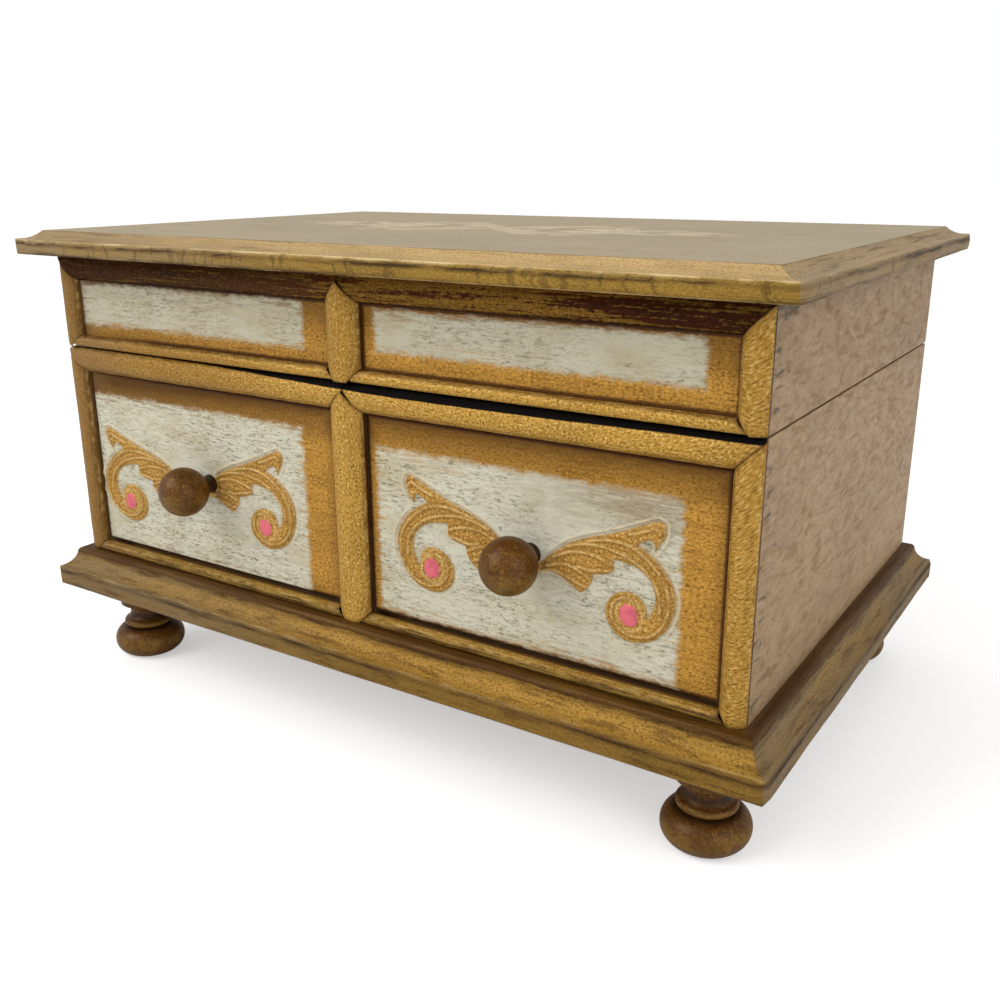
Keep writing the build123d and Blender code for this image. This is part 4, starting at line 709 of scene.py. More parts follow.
def painted_panel(name, fields, panels, carved):
    """Gold-brown panel with a ragged off-white field; carved fronts add leaf, pale ridges and pink eyes."""
    ochre, brown = colour("ochre"), colour("gold_dark")
    r = Recipe(name, Specular_IOR_Level=0.14)
    at = r.place()
    x, _, z = r.axes(at)
    ragged = r.noise(at, (0.35, 0.35, 0.6), 3.0, 0.6) - 0.5
    hairs = r.noise(at, (0.5, 0.5, 2.4), 4.0, 0.72, seed=2.0) - 0.5
    edge = nearest(x, z, fields) + ragged * 2.2 + hairs * 2.4
    rim = nearest(x, z, panels)
    # Darker towards the left end of the front: painted shade.
    shaded = r.step(x, 10.0, -90.0)
    border, bump = gilding(r, at, ochre, shade(brown, 0.9), shade(ochre, 1.5), (1.3, 2.2), 0.75, 0.4)
    # Darker under the top edge of each panel: painted shade.
    top = r.step(z, panels[0][3] - 11.0, panels[0][3] - 3.0) * 0.55
    # Brown next to the mouldings: partly a glaze, partly painted shade.
    glaze_and_shade = r.step(rim + hairs * 2.2 + ragged * 2.0, -4.5, 0.5) * (0.4 if carved else 0.15)
    border = r.mix((glaze_and_shade + top + shaded * 0.3).kept(), border, shade(brown, 0.7))
    # The left end of the panel goes brown: painted shade.
    border = r.mix(r.step(x, -84.0, -97.0) * 0.8, border, colour("left_shade_brown", 0.9))
    line = r.step(rim + hairs * 0.8, -1.0, -0.4) * r.step(x, -92.0, -60.0)
    border = r.mix(line * 0.8, border, colour("quirk"))
    paint, strokes = white_paint(r, at)
    if not carved:
        paint = r.mix(0.34, paint, colour("white_warm", 0.62))
    cover = r.step(edge, 0.9, -0.9)
    fade = r.noise(at, (0.1, 0.1, 1.1), 4.0, 0.72, seed=21.0)
    corner = r.step(x, 30.0, 76.0) * r.step(z, 64.0, 77.0)
    thin = r.step(fade + corner * 0.14, 0.5, 0.64) * r.step(edge - corner * 9.0, -5.0, 0.5)
    if carved:
        smudge = corner * (0.35 + r.step(fade, 0.42, 0.58) * 0.4)
        paint = r.mix(smudge, paint, colour("patina", 1.05))
    cover = cover * (1.0 - thin * 0.75)
    mixed = r.mix(cover, border, paint)
    height = bump * 0.6 + cover * 0.2 + strokes * 0.35
    metallic = (1.0 - cover) * 0.14
    if carved:
        leaf = r.field("leaf")
        pale = colour("gold_pale")
        gold, gold_bump = gilding(r, at, colour("leaf"), brown, pale, (1.7, 1.9), 0.8, 0.2)
        # Brown in the grooves beside the ridges: painted shade.
        gold = r.mix(r.field("groove") * 0.55, gold, shade(brown, 1.1))
        mixed = r.mix(leaf, mixed, gold)
        specks = r.noise(at, (1.9, 1.9, 1.9), 3.0, 0.7, seed=25.0)
        patchy = r.noise(at, (0.3, 0.3, 0.3), 3.0, 0.6, seed=27.0)
        lit = r.step(patchy, 0.4, 0.56)
        crest = r.mix(0.35, pale, colour("rubbed"))
        ridge = r.field("ridge") * (0.3 + lit * 0.4 - r.step(specks, 0.5, 0.62) * 0.3)
        mixed = r.mix(ridge, mixed, crest)
        cord = r.field("cord") * (0.5 + lit * 0.45 - r.step(specks, 0.54, 0.66) * 0.4)
        mixed = r.mix(cord, mixed, colour("cream"))
        rose = r.mix(r.step(patchy, 0.44, 0.62) * 0.5, colour("rose"), colour("rose", 0.6))
        blotched = r.step(x, 0.0, -20.0) * 0.16
        eye = r.step(r.field("eye") + (specks - 0.5) * 1.1 - blotched, 0.4, 0.72)
        mixed = r.mix(eye, mixed, rose)
        height = height * (1.0 - leaf * 0.6) + gold_bump * leaf * 0.6
        metallic = metallic + leaf * cover * 0.14
    return r.done(mixed, 0.5 + r.step(strokes, 0.4, 0.7) * 0.18, r.bump(height, 0.11, 0.6), metallic)


def white_paint(r, at):
    """Off-white paint rubbed back to its dark pores: streaks, dashes along the grain, dots, a few knots."""
    blotch = r.noise(at, (0.07, 0.07, 0.13), 3.0, 0.6, seed=7.0)
    paint = r.mix(r.step(blotch, 0.42, 0.68) * 0.6, colour("white"), colour("white_warm"))
    strokes = r.noise(at, (0.2, 0.2, 1.9), 4.0, 0.7, seed=9.0)
    crowd = r.step(r.noise(at, (0.05, 0.05, 0.08), 3.0, 0.55, seed=29.0), 0.34, 0.56)
    brushed = r.step(strokes, 0.48, 0.66) * (0.15 + crowd * 0.3)
    paint = r.mix(brushed, paint, colour("white_warm", 0.6))
    dashes = r.noise(at, (0.5, 0.5, 1.9), 4.0, 0.78, seed=13.0)
    pores = r.noise(at, (1.5, 1.5, 3.6), 3.0, 0.75, seed=17.0)
    marks = r.step(dashes, 0.5, 0.66) * (0.3 + crowd * 0.7)
    marks = marks + r.step(pores, 0.54, 0.68) * (0.25 + crowd * 0.5)
    paint = r.mix((marks * 0.7).kept(), paint, colour("grime"))
    knots = r.noise(at, (0.3, 0.3, 0.42), 2.0, 0.4, seed=33.0)
    paint = r.mix(r.step(knots, 0.75, 0.79) * 0.5, paint, colour("umber"))
    return paint, strokes - marks * 0.2


def grained_paint(name, base, dark, pale, pace, streak):
    """Thin metallic paint over open-grained wood: soft mottling, short pores, dark patches near the front
    and top edges.
    """
    r = Recipe(name, Specular_IOR_Level=0.25)
    at = r.place()
    _, y, z = r.axes(at)
    blobs = r.noise(at, pace, 3.0, 0.6, bend=0.8)
    short = r.noise(at, tuple(p * 2.6 for p in pace), 3.0, 0.66, seed=5.0)
    cloud = r.noise(at, (0.02, 0.03, 0.05), 4.0, 0.6, seed=9.0)
    mixed = r.mix(r.step(cloud, 0.4, 0.62) * 0.45, base, shade(base, 0.74))
    # The lid's part of the walls is darker, under the slab: painted shade.
    mixed = r.mix(r.step(z, 88.0, 96.0) * 0.14, mixed, dark)
    mixed = r.mix(r.step(blobs, 0.5, 0.68) * streak, mixed, dark)
    mixed = r.mix(r.step(blobs, 0.46, 0.32) * 0.4, mixed, pale)
    mixed = r.mix(r.step(short, 0.52, 0.68) * streak, mixed, shade(dark, 0.9))
    low = r.step(z, 70.0, 36.0) * r.step(y, -20.0, 60.0)
    mixed = r.mix(low * 0.3, mixed, pale)
    edge_patchiness = r.noise(at, (0.1, 0.12, 0.5), 4.0, 0.7, seed=15.0)
    near = r.step(y, -38.0, -56.0) * 0.2 + r.step(z, 112.0, 119.0) * 0.3
    stain = r.step(edge_patchiness + near, 0.72, 0.86)
    mixed = r.mix(stain * 0.75, mixed, colour("patina", 0.22))
    height = blobs * 0.7 + short * 0.3
    return r.done(mixed, 0.42 + r.step(blobs, 0.4, 0.7) * 0.2, r.bump(height, 0.2, 0.7), 0.15)


def slab_top_paint(name):
    """Pale bronze top with brush streaks and a rubbed motif in cream and pink."""
    r = Recipe(name, Specular_IOR_Level=0.25)
    at = r.place()
    streaks = r.noise(at, (0.05, 0.9, 0.9), 5.0, 0.68)
    cloud = r.noise(at, (0.02, 0.035, 0.035), 3.0, 0.6, seed=3.0)
    specks = r.noise(at, (1.2, 1.6, 1.6), 3.0, 0.7, seed=6.0)
    mixed = r.mix(r.step(cloud, 0.4, 0.64) * 0.35, colour("top"), colour("top", 0.82))
    mixed = r.mix(r.step(streaks, 0.52, 0.68) * 0.25, mixed, colour("bronze", 0.72))
    mixed = r.mix(r.step(specks, 0.54, 0.66) * 0.25, mixed, colour("bronze_dark"))
    worn = r.noise(at, (0.25, 0.5, 0.5), 4.0, 0.7, seed=12.0)
    kept = 0.35 + r.step(worn, 0.62, 0.5) * 0.65
    mixed = r.mix(r.field("blush") * kept * 0.7, mixed, colour("blush"))
    cream = r.field("cream") * kept
    mixed = r.mix(cream, mixed, colour("cream", 1.12))
    height = streaks * 0.5 + specks * 0.3 + cream * 0.25
    return r.done(mixed, 0.46 + r.step(streaks, 0.4, 0.7) * 0.2, r.bump(height, 0.1, 0.5), 0.1)


def turned_brown(name, lustre):
    """Brown stained turning with gold dust; its rubbed gold is in part painted light."""
    base = colour("knob")
    r = Recipe(name, Specular_IOR_Level=0.2, Coat_Roughness=0.25)
    at = r.place()
    grain = r.noise(at, (1.2, 0.5, 0.5), 4.0, 0.6)
    dust = r.noise(at, (1.5, 1.5, 1.5), 3.0, 0.75, seed=4.0)
    cloud = r.noise(at, (0.2, 0.2, 0.2), 3.0, 0.55, seed=7.0)
    mixed = r.mix(r.step(grain, 0.46, 0.64) * 0.4, base, shade(base, 0.5))
    # Gold where the rub field is set: painted light on the knobs, rubbed gold and painted highlight on the
    # feet.
    gold = r.field("rub") * (0.4 + r.step(cloud, 0.35, 0.6) * 0.6) * lustre
    mixed = r.mix(gold, mixed, colour("gold", 0.42))
    mixed = r.mix(r.step(dust, 0.53, 0.64) * 0.55, mixed, colour("gold", 0.6))
    mixed = r.mix(r.step(dust, 0.47, 0.36) * 0.6, mixed, shade(base, 0.35))
    mixed = r.mix(r.step(cloud, 0.56, 0.4) * 0.35, mixed, shade(base, 0.45))
    # Near black where the hollow field is set; on the knobs it is painted shade round the stem.
    mixed = r.mix(r.field("hollow") * 0.85, mixed, (0.02, 0.008, 0.004))
    height = dust * 0.5 + grain * 0.4
    return r.done(mixed, 0.34 + r.step(dust, 0.4, 0.7) * 0.2, r.bump(height, 0.06, 0.6), 0.2, 0.05)


def bare_wood(name, dark):
    """Plain close-grained wood."""
    r = Recipe(name, Specular_IOR_Level=0.35)
    at = r.place()
    bend = r.noise(at, (0.02, 0.03, 0.03), 2.0)
    x, y, z = r.axes(at)
    ringed = r.noise(r.vector(x * 0.04, y + bend * 14.0, z + bend * 14.0), (1.0, 0.8, 0.8), 3.0, 0.6)
    pores = r.noise(at, (0.25, 3.0, 3.0), 2.0, 0.6, seed=4.0)
    base = colour("wood", dark)
    mixed = r.mix(r.step(ringed, 0.42, 0.62) * 0.6, base, shade(base, 0.62))
    mixed = r.mix(r.step(pores, 0.56, 0.68) * 0.5, mixed, shade(base, 0.4))
    return r.done(mixed, 0.62 + r.step(pores, 0.4, 0.7) * 0.15, r.bump(ringed + pores, 0.06, 0.5))


def velvet_pile(name):
    """Short pile that shades where it is brushed over."""
    sheen = {"Sheen_Weight": 0.7, "Sheen_Roughness": 0.4, "Sheen_Tint": (0.9, 0.45, 0.45)}
    r = Recipe(name, Specular_IOR_Level=0.2, **sheen)
    at = r.place()
    pile = r.noise(at, (5.5, 5.5, 5.5), 2.0, 0.6)
    brushed = r.noise(at, (0.12, 0.18, 0.18), 3.0, 0.6, seed=3.0)
    mixed = r.mix(r.step(brushed, 0.4, 0.62) * 0.6, colour("velvet"), colour("velvet", 0.5))
    mixed = r.mix(r.step(pile, 0.45, 0.7) * 0.5, mixed, colour("velvet", 1.5))
    return r.done(mixed, 0.88 - r.step(brushed, 0.4, 0.7) * 0.08, r.bump(pile + brushed * 0.5, 0.14, 0.7))


def worked_metal(name, base, pace, rough):
    """Drawn and handled metal: fine scratches along one way and dull spots."""
    r = Recipe(name, Specular_IOR_Level=0.5)
    at = r.place()
    lines = r.noise(at, pace, 4.0, 0.7)
    spots = r.noise(at, (0.5, 0.5, 0.5), 4.0, 0.65, seed=5.0)
    mixed = r.mix(r.step(spots, 0.5, 0.68) * 0.55, base, shade(base, 0.5))
    mixed = r.mix(r.step(lines, 0.5, 0.7) * 0.3, mixed, shade(base, 1.25))
    dull = r.step(spots, 0.45, 0.65)
    rough = rough + dull * 0.25 + r.step(lines, 0.4, 0.7) * 0.1
    return r.done(mixed, rough, r.bump(lines, 0.03, 0.5), 1.0 - dull * 0.3)


def silvered_glass(name):
    """Mirror with faint haze and foxed edges."""
    low, high = span("mirror")
    r = Recipe(name, Specular_IOR_Level=0.6)
    at = r.place()
    x, y, _ = r.axes(at)
    edge = box_distance(x, y, low[0], high[0], low[1], high[1])
    fox = r.noise(at, (0.5, 0.5, 0.5), 4.0, 0.7)
    spots = r.step(edge + fox * 7.0, 1.2, 3.6)
    haze = r.noise(at, (0.08, 0.05, 0.05), 3.0, 0.6, seed=4.0)
    mixed = r.mix(spots, (0.88, 0.9, 0.89), (0.2, 0.17, 0.12))
    rough = 0.02 + r.step(haze, 0.45, 0.7) * 0.05 + spots * 0.3
    return r.done(mixed, rough, r.bump(fox, 0.002, 0.2), 1.0 - spots * 0.5)


# Materials that are made, by name.
MADE = {}


def finish(maker, name, *values):
    """A material, made the first time that it is asked for."""
    if name not in MADE:
        MADE[name] = maker(name, *values)
    return MADE[name]


def bare():
    """The plain wood finish."""
    return finish(bare_wood, "bare_wood", 1.0)


def velvet():
    """The lining's finish."""
    return finish(velvet_pile, "velvet_pile")


def gold(name, hairs=False, brown=0.0, seam=0.0):
    """A finish of the mouldings."""
    return finish(moulding_paint, name, hairs, brown, seam)


def edge_fields(profile, edges, hollows):
    """How far each profile point is rubbed and in a hollow: a bell of its distance to the nearest place."""
    found = []
    for places, spread in ((edges, 0.16), (hollows, 0.3)):
        away = np.stack([np.linalg.norm(profile - place, axis=1) for place in places])
        found.append(bell(away, spread).max(axis=0))
    return found


def dense(profile, pitch):
    """The same line with points no further apart than the pitch."""
    rows = [np.asarray(profile[0], float)[None]]
    for a, b in zip(profile[:-1], profile[1:]):
        a, b = np.asarray(a, float), np.asarray(b, float)
        count = max(int(math.ceil(np.linalg.norm(b - a) / pitch)), 1)
        rows.append(a + (b - a) * np.linspace(0, 1, count + 1)[1:, None])
    return np.concatenate(rows)


def curve(points, closed=False, count=8):
    """Smooth line through points: a cubic between each pair, its slopes taken from the neighbours."""
    p = np.asarray(points, float)
    if closed:
        p = np.concatenate([p[-1:], p, p[:2]])
    else:
        p = np.concatenate([2 * p[:1] - p[1:2], p, 2 * p[-1:] - p[-2:-1]])
    t = np.linspace(0, 1, count, endpoint=False)[:, None]
    rows = []
    for a, b, c, d in zip(p[:-3], p[1:-2], p[2:-1], p[3:]):
        cubic = 2 * b + (c - a) * t + (2 * a - 5 * b + 4 * c - d) * t**2 + (3 * b - a - 3 * c + d) * t**3
        rows.append(cubic / 2)
    if not closed:
        rows.append(p[-2:-1])
    return np.concatenate(rows)


def line_distance(x, z, line):
    """Distance from each grid point to a line of points, worked out segment by segment."""
    best = np.full(x.shape, 1e9)
    for a, b in zip(line[:-1], line[1:]):
        d = b - a
        size = d @ d
        if size < 1e-12:
            continue
        share = np.clip(((x - a[0]) * d[0] + (z - a[1]) * d[1]) / size, 0, 1)
        best = np.minimum(best, (x - a[0] - share * d[0]) ** 2 + (z - a[1] - share * d[1]) ** 2)
    return np.sqrt(best)


def nearest_line(x, z, parts):
    """Distance from each grid point to the nearest of several smooth lines."""
    return np.min([line_distance(x, z, curve(part)) for part in parts], axis=0)


def inside(x, z, line):
    """Whether each grid point is in a closed line: a ray from it crosses the line an odd number of times."""
    found = np.zeros(x.shape, bool)
    for a, b in zip(line, np.roll(line, -1, axis=0)):
        if a[1] != b[1]:
            between = (a[1] > z) != (b[1] > z)
            cross = a[0] + (z - a[1]) * (b[0] - a[0]) / (b[1] - a[1])
            found ^= between & (x < cross)
    return found


# Lines of one carved scroll in millimetres, right and up from its stem: its outline in nine parts, the
# ridges on its leaves and the raised cord round it.
SCROLL_PARTS = (
    (
        (2.4, -1.6), (6.1, 1.6), (9.8, 4.5), (14.0, 6.5), (18.5, 8.1), (22.3, 9.6), (25.4, 11.0),
        (28.4, 12.4), (30.2, 13.0),
    ),
    ((30.2, 13.0), (31.4, 12.5), (31.7, 11.0), (31.1, 9.0), (30.2, 7.4), (29.4, 6.0)),
    ((29.4, 6.0), (29.4, 7.1), (29.1, 8.1), (28.5, 8.6), (27.6, 8.3), (26.7, 7.8), (25.8, 7.2)),
    (
        (25.8, 7.2), (28.7, 5.5), (30.9, 3.7), (32.8, 1.4), (34.0, -1.0), (34.5, -3.6), (34.2, -6.3),
        (33.3, -9.0), (31.9, -11.4), (29.9, -13.3), (27.2, -14.5), (24.4, -14.8), (21.8, -14.0),
        (19.8, -12.2), (18.8, -9.8), (19.0, -7.3), (20.3, -5.2), (22.2, -3.9), (24.7, -3.6),
        (26.8, -4.4), (28.0, -6.2), (28.4, -8.6),
    ),
    (
        (28.4, -8.6), (29.3, -6.9), (29.9, -4.9), (29.8, -3.1), (29.2, -1.1), (27.9, 0.6), (25.9, 1.9),
        (23.2, 2.6), (20.6, 2.9),
    ),
    ((20.6, 2.9), (20.4, 1.7), (20.6, 0.3)),
    ((20.6, 0.3), (18.6, -0.9), (15.7, -1.5)),
    ((15.7, -1.5), (15.4, -3.3), (14.2, -5.2), (12.7, -6.4)),
    ((12.7, -6.4), (10.6, -5.1), (8.9, -4.1), (6.8, -3.2), (4.7, -3.1), (2.4, -4.0)),
)
SCROLL_RIDGES = (
    ((2.6, -3.6), (4.6, -2.6), (6.8, -2.3), (9.6, -3.0), (13.0, -4.2), (14.4, -4.6)),
    ((4.6, -1.5), (8.5, -0.4), (11.6, -0.8), (15.0, -2.3)),
    ((6.4, 0.9), (10.1, 2.6), (13.4, 3.2), (17.0, 2.8), (20.3, 1.6)),
    ((12.0, -0.2), (14.9, -0.6), (17.5, 0.0), (20.3, 0.3)),
    (
        (9.4, 3.8), (13.0, 5.0), (17.0, 5.4), (21.0, 4.9), (24.6, 3.8), (27.8, 1.9), (30.0, -0.6),
        (31.2, -3.6), (31.2, -6.6),
    ),
    (
        (14.0, 5.9), (18.5, 6.9), (22.5, 7.0), (26.2, 5.8), (29.4, 3.4), (31.8, 0.6), (33.0, -2.6),
        (33.1, -6.0), (32.2, -9.0), (30.6, -11.2), (28.4, -12.7), (25.6, -13.2), (22.8, -12.4),
        (20.9, -10.6), (20.3, -8.2), (21.2, -6.0), (23.2, -4.9),
    ),
    ((24.0, 9.2), (26.8, 10.2), (29.6, 11.4), (30.6, 10.6)),
)
SCROLL_CORD = (
    (
        (2.2, -0.9), (5.8, 2.3), (9.5, 5.2), (13.8, 7.3), (18.3, 8.9), (22.1, 10.4), (25.2, 11.8),
        (28.2, 13.1), (30.2, 13.8), (32.0, 13.0), (32.5, 11.1), (31.9, 8.8), (30.9, 7.0), (30.2, 5.6),
    ),
    (
        (29.8, 5.6), (31.8, 3.8), (33.7, 1.4), (34.9, -1.2), (35.4, -3.8), (35.0, -6.6), (34.0, -9.4),
        (32.5, -12.0),
    ),
    ((20.6, 3.6), (23.4, 3.2), (26.1, 2.5), (28.3, 1.0)),
)
SCROLL_EYE = (24.5, -8.6)
SCROLL_HEIGHT = 0.55
# For each front: how far its scrolls stand right of and above the knob, their stretch across and up
# and their tilt.
ORNAMENT_PLACE = {"left": (-5.9, -1.1, 1.045, 0.955, 0.034), "right": (-0.5, -0.2, 1.0, 0.985, 0.0)}
# The scrolls painted on the top: where each starts, its stretch along and across, and its turn.
MOTIF_SCROLLS = ((1.5, 1.2, 0.72, 0.58), (32.0, 1.0, 0.36, 0.56))
MOTIF_HALF = (66.0, 46.0)
# The painted blossoms: place across and along, and size.
MOTIF_BLOSSOMS = (
    *((x, 0.0, size) for x, size in ((0.0, 3.0), (34.5, 3.4), (-34.5, 3.4), (66.0, 2.2), (-66.0, 2.2))),
    *((x, y, 2.2) for x, y in ((30.0, 19.5), (-30.0, -19.5), (-30.0, 19.5), (30.0, -19.5))),
)
# White fields on the fronts and the lid: low and high x, low and high z.
FRONT_FIELDS = ((7.6, 84.2, 38.2, 78.4), (-96.0, -15.4, 36.8, 80.0))
LID_FIELDS = ((8.4, 87.3, 100.6, 109.9), (-93.9, -13.4, 99.4, 110.4))


def scroll_maps(x, z):
    """Maps of one acanthus scroll on points that run right from its stem.

    Each map is a function of the distance to the scroll's outline, to its ridge lines, to its cord and to
    its eye, an oval that leans a little.
    """
    outline = np.concatenate([curve(part)[:-1] for part in SCROLL_PARTS])
    rim = line_distance(x, z, np.concatenate([outline, outline[:1]]))
    signed = np.where(inside(x, z, outline), rim, -rim)
    leaf = smooth(-0.12, 0.14, signed)
    crest = nearest_line(x, z, SCROLL_RIDGES)
    cord = nearest_line(x, z, SCROLL_CORD)
    lean_x, lean_z = 0.98, 0.17
    turn_x = (x - SCROLL_EYE[0]) * lean_x + (z - SCROLL_EYE[1]) * lean_z
    turn_z = (z - SCROLL_EYE[1]) * lean_x - (x - SCROLL_EYE[0]) * lean_z
    eye_run = np.hypot(turn_x / 2.6, turn_z / 3.15)
    eye = smooth(1.0, 0.62, eye_run)
    eye_ring = bell((eye_run - 1.14) * 2.8, 0.09) * leaf
    ridge = np.maximum(bell(crest, 0.0625) * leaf * 0.8, eye_ring * 0.7)
    inner_rim = bell(signed - 0.35, 0.0256) * leaf
    ridge = np.maximum(ridge, inner_rim * 0.35) * (1 - eye)
    corded = bell(cord, 0.0576) * (1 - leaf)
    groove = bell(crest - 0.6, 0.09) * leaf * (1 - eye) * 0.7
    groove = np.maximum(groove, bell(signed - 0.02, 0.0256) * 0.55 * (1 - eye))
    height = SCROLL_HEIGHT * smooth(-0.1, 0.7, signed) + 0.3 * bell(crest, 0.09) * leaf
    height += 0.35 * bell(cord, 0.1156) * (1 - leaf) - 0.22 * groove
    height += 0.45 * eye * np.sqrt(np.clip(1 - eye_run**2, 0, 1)) - 0.2 * bell(signed + 0.35, 0.08)
    return {"leaf": leaf, "ridge": ridge, "cord": corded, "groove": groove, "eye": eye, "height": height}


def paired_scrolls(x, z):
    """The scroll and its mirror image, whichever is stronger; the stems meet behind the knob."""
    right = scroll_maps(x, z)
    left = scroll_maps(-(x + 0.4) / 1.035, z)
    stronger = {name: np.abs(value) > np.abs(left[name]) for name, value in right.items()}
    return {name: np.where(stronger[name], value, left[name]) for name, value in right.items()}


def carved_front(side):
    """Drawer front as a height field: the scrolls and a slow unevenness stand out from its plane."""
    node = "drawer_" + side + "_front"
    low, high = span(node)
    centre = sum(span("drawer_" + side + "_knob")) / 2
    pitch = mm("relief_pitch")
    arris = 0.25
    lines = [np.linspace(low[i] + arris, high[i] - arris, int((high[i] - low[i]) / pitch)) for i in (0, 2)]
    x, z = np.meshgrid(*lines, indexing="ij")
    shift_x, shift_z, wide, tall, tilt = ORNAMENT_PLACE[side]
    right = x - centre[0] - shift_x
    up = z - centre[2] - shift_z
    maps = paired_scrolls((right + up * tilt) / wide, (up - right * tilt) / tall)
    relief = maps.pop("height") * mm("relief_height") / SCROLL_HEIGHT
    knob_room = smooth(3.0, 4.6, np.hypot(x - centre[0], z - centre[2]))
    relief = relief * knob_room + 0.04 * waver(x, z * 3, 1.0)
    outer = np.pad(np.stack([x, low[1] - relief + 0.05, z], axis=2), ((2, 2), (2, 2), (0, 0)), mode="edge")
    outer[:2, :, 0], outer[-2:, :, 0] = low[0], high[0]
    outer[:, :2, 2], outer[:, -2:, 2] = low[2], high[2]
    outer[1:-1, [1, -2], 1] = low[1] + arris
    outer[[1, -2], 1:-1, 1] = low[1] + arris
    outer[[0, -1], :, 1] = high[1]
    outer[:, [0, -1], 1] = high[1]
    shell = Shell()
    fields = {name: np.pad(value, 2) for name, value in maps.items()}
    shell.grid(outer, u=outer[:, 4, 0], v=outer[4, :, 2], **fields)
    back_x, back_z = np.meshgrid([low[0], high[0]], [low[2], high[2]], indexing="ij")
    shell.grid(np.stack([back_x, np.full((2, 2), high[1]), back_z], axis=2), flip=True, coat=1)
    paint = finish(painted_panel, "carved_paint", FRONT_FIELDS, front_panels(), True)
    shell.piece("carved_front_" + side, node, "drawer_" + side, "gilt_wood", [paint, bare()])


def front_panels():
    """Rectangles of the two drawer fronts."""
    corners = [span("drawer_" + side + "_front") for side in ("left", "right")]
    return [(low[0], high[0], low[2], high[2]) for low, high in corners]


def lid_panels():
    """Rectangles of the two panels that show in the lid."""
    side_wall = 5.0
    half = span("lid_front_board")[1][0] + side_wall
    stile, muntin = mm("stile_width"), mm("muntin_width") / 2
    low = span("lid_bottom_rails")[0][2] + mm("lid_low_rail")
    high = span("lid_top_rails")[1][2] - mm("lid_top_rail")
    return [(muntin, half - stile, low, high), (-half + stile, -muntin, low, high)]


def frame_bars(prefix, low_width, top_width):
    """The bars of one front frame: for each CAD node the arguments of its bars.

    Each mitre runs at 45 degrees from the inner corner outwards. Where the bars differ in width, the wider
    bar's end stays square past the narrower one.
    """
    low, high = span(prefix + "stiles")
    face, half = high[1], high[0]
    stile, muntin = mm("stile_width"), mm("muntin_width")
    depth = face - low[1]
    muntin_depth = face - span(prefix + "muntin")[0][1]
    z0, z1 = low[2], high[2]
    across = np.array([1.0, 0, 0])
    cut = (low_width - muntin / 2, top_width - muntin / 2)
    muntin_bar = ((0, face, z0), (0, face, z1), across, muntin, muntin_depth, cut, True)
    bars = {"stiles": [], "muntin": [muntin_bar], "bottom_rails": [], "top_rails": []}
    rails = (
        ("bottom_rails", z0 + low_width / 2, low_width, 1.0),
        ("top_rails", z1 - top_width / 2, top_width, -1.0),
    )
    for side in (-1, 1):
        x = side * (half - stile / 2)
        cut = (low_width - stile, top_width - stile)
        bars["stiles"].append(((x, face, z0), (x, face, z1), -side * across, stile, depth, cut, False))
        for name, z, width, up in rails:
            cut = (muntin / 2 - width, stile - width)
            bars[name].append(((0, face, z), (side * half, face, z), (0, 0, up), width, depth, cut, False))
    return bars


def bar(shell, start, end, across, width, depth, shifts, pointed, shoulder, seed):
    """Applied moulding from start to end: its section is a rounded face between two square sides.

    Each end is drawn in by the distance from the outer edge, or on a pointed bar from the middle, plus its
    shift, and never by less than nothing, which makes the mitres. The face falls a little at both ends, so
    that the mitres show as fine grooves.
    """
    start, end, across = (np.asarray(p, float) for p in (start, end, across))
    out = np.array([0.0, -1.0, 0.0])
    total = np.linalg.norm(end - start)
    direction = (end - start) / total
    half = width / 2
    side = np.array([(-half, 0.0), (-half, shoulder * 0.5), (-half, shoulder - 0.15)])
    face = arc((-half + 0.14, shoulder + 0.1), (0, depth), (half - 0.14, shoulder + 0.1), 23)
    section = path(side, face, side[::-1] * (-1, 1))
    t, rise = section[:, 0], section[:, 1]
    reach = np.abs(t) if pointed else t + half
    begin = np.maximum(reach + shifts[0], 0)
    stop = total - np.maximum(reach + shifts[1], 0)
    rows = max(int(total / 1.5), 12)
    share = np.concatenate([[0, 0.004, 0.01, 0.02], np.linspace(0.03, 0.97, rows), [0.98, 0.99, 0.996, 1]])
    s = begin + share[:, None] * (stop - begin)
    near = np.minimum(s - begin, stop - s)
    fall = 0.3 * np.exp(-near / 0.4) + 0.07 * (1 + waver(s, t[None, :], seed))
    height = np.maximum(rise - fall * (rise > 0.2), 0)
    points = start + s[..., None] * direction + t[None, :, None] * across + height[..., None] * out
    edge = bell(np.abs(t) - half, 0.35) * (rise > shoulder * 0.7)
    hollow = (rise < shoulder * 0.8) * 1.0
    inner = np.abs(t) / half if pointed else (t + half) / width
    shell.grid(
        points,
        u=s[:, len(t) // 2],
        v=run(section),
        flip=np.dot(np.cross(direction, across), out) < 0,
        edge=edge,
        inner=inner,
        hollow=np.maximum(hollow, np.exp(-near / 0.35) * 0.9),
    )


def build_frame(prefix, body, low_width, top_width, coats):
    """All mouldings of one front, a piece for each CAD node."""
    shoulder = mm("moulding_shoulder")
    for index, (name, specs) in enumerate(frame_bars(prefix, low_width, top_width).items()):
        shell = Shell()
        for count, spec in enumerate(specs):
            bar(shell, *spec, shoulder, index * 3.1 + count * 1.7 + len(prefix))
        shell.piece(prefix + "moulding_" + name, prefix + name, body, "gilt_wood", [coats[name]], 50.0)


def base_profile(height):
    """Inset and height from the base's outer edge inwards: chamfer, face, cove, bead."""
    chamfer, face, bead = mm("base_edge"), mm("base_face"), mm("base_bead")
    reach = mm("base_overhang") - 1.0
    arris = (chamfer, face)
    quirk = (reach - bead, height - bead)
    middle = ((chamfer + quirk[0]) / 2 + 0.55, (face + quirk[1]) / 2 - 0.55)
    turn = bead * math.sqrt(0.5)
    low = dense([(chamfer, 0.0), (0.0, chamfer), (0.0, face - chamfer), arris], 0.6)
    cove = arc(arris, middle, quirk, 12)
    round_over = arc(quirk, (reach - turn, quirk[1] + turn), (reach, height), 8)
    profile = path([(BASE_UNDER, 0.0)], low, cove, round_over, [(reach + 6.0, height)])
    return profile, arris, quirk


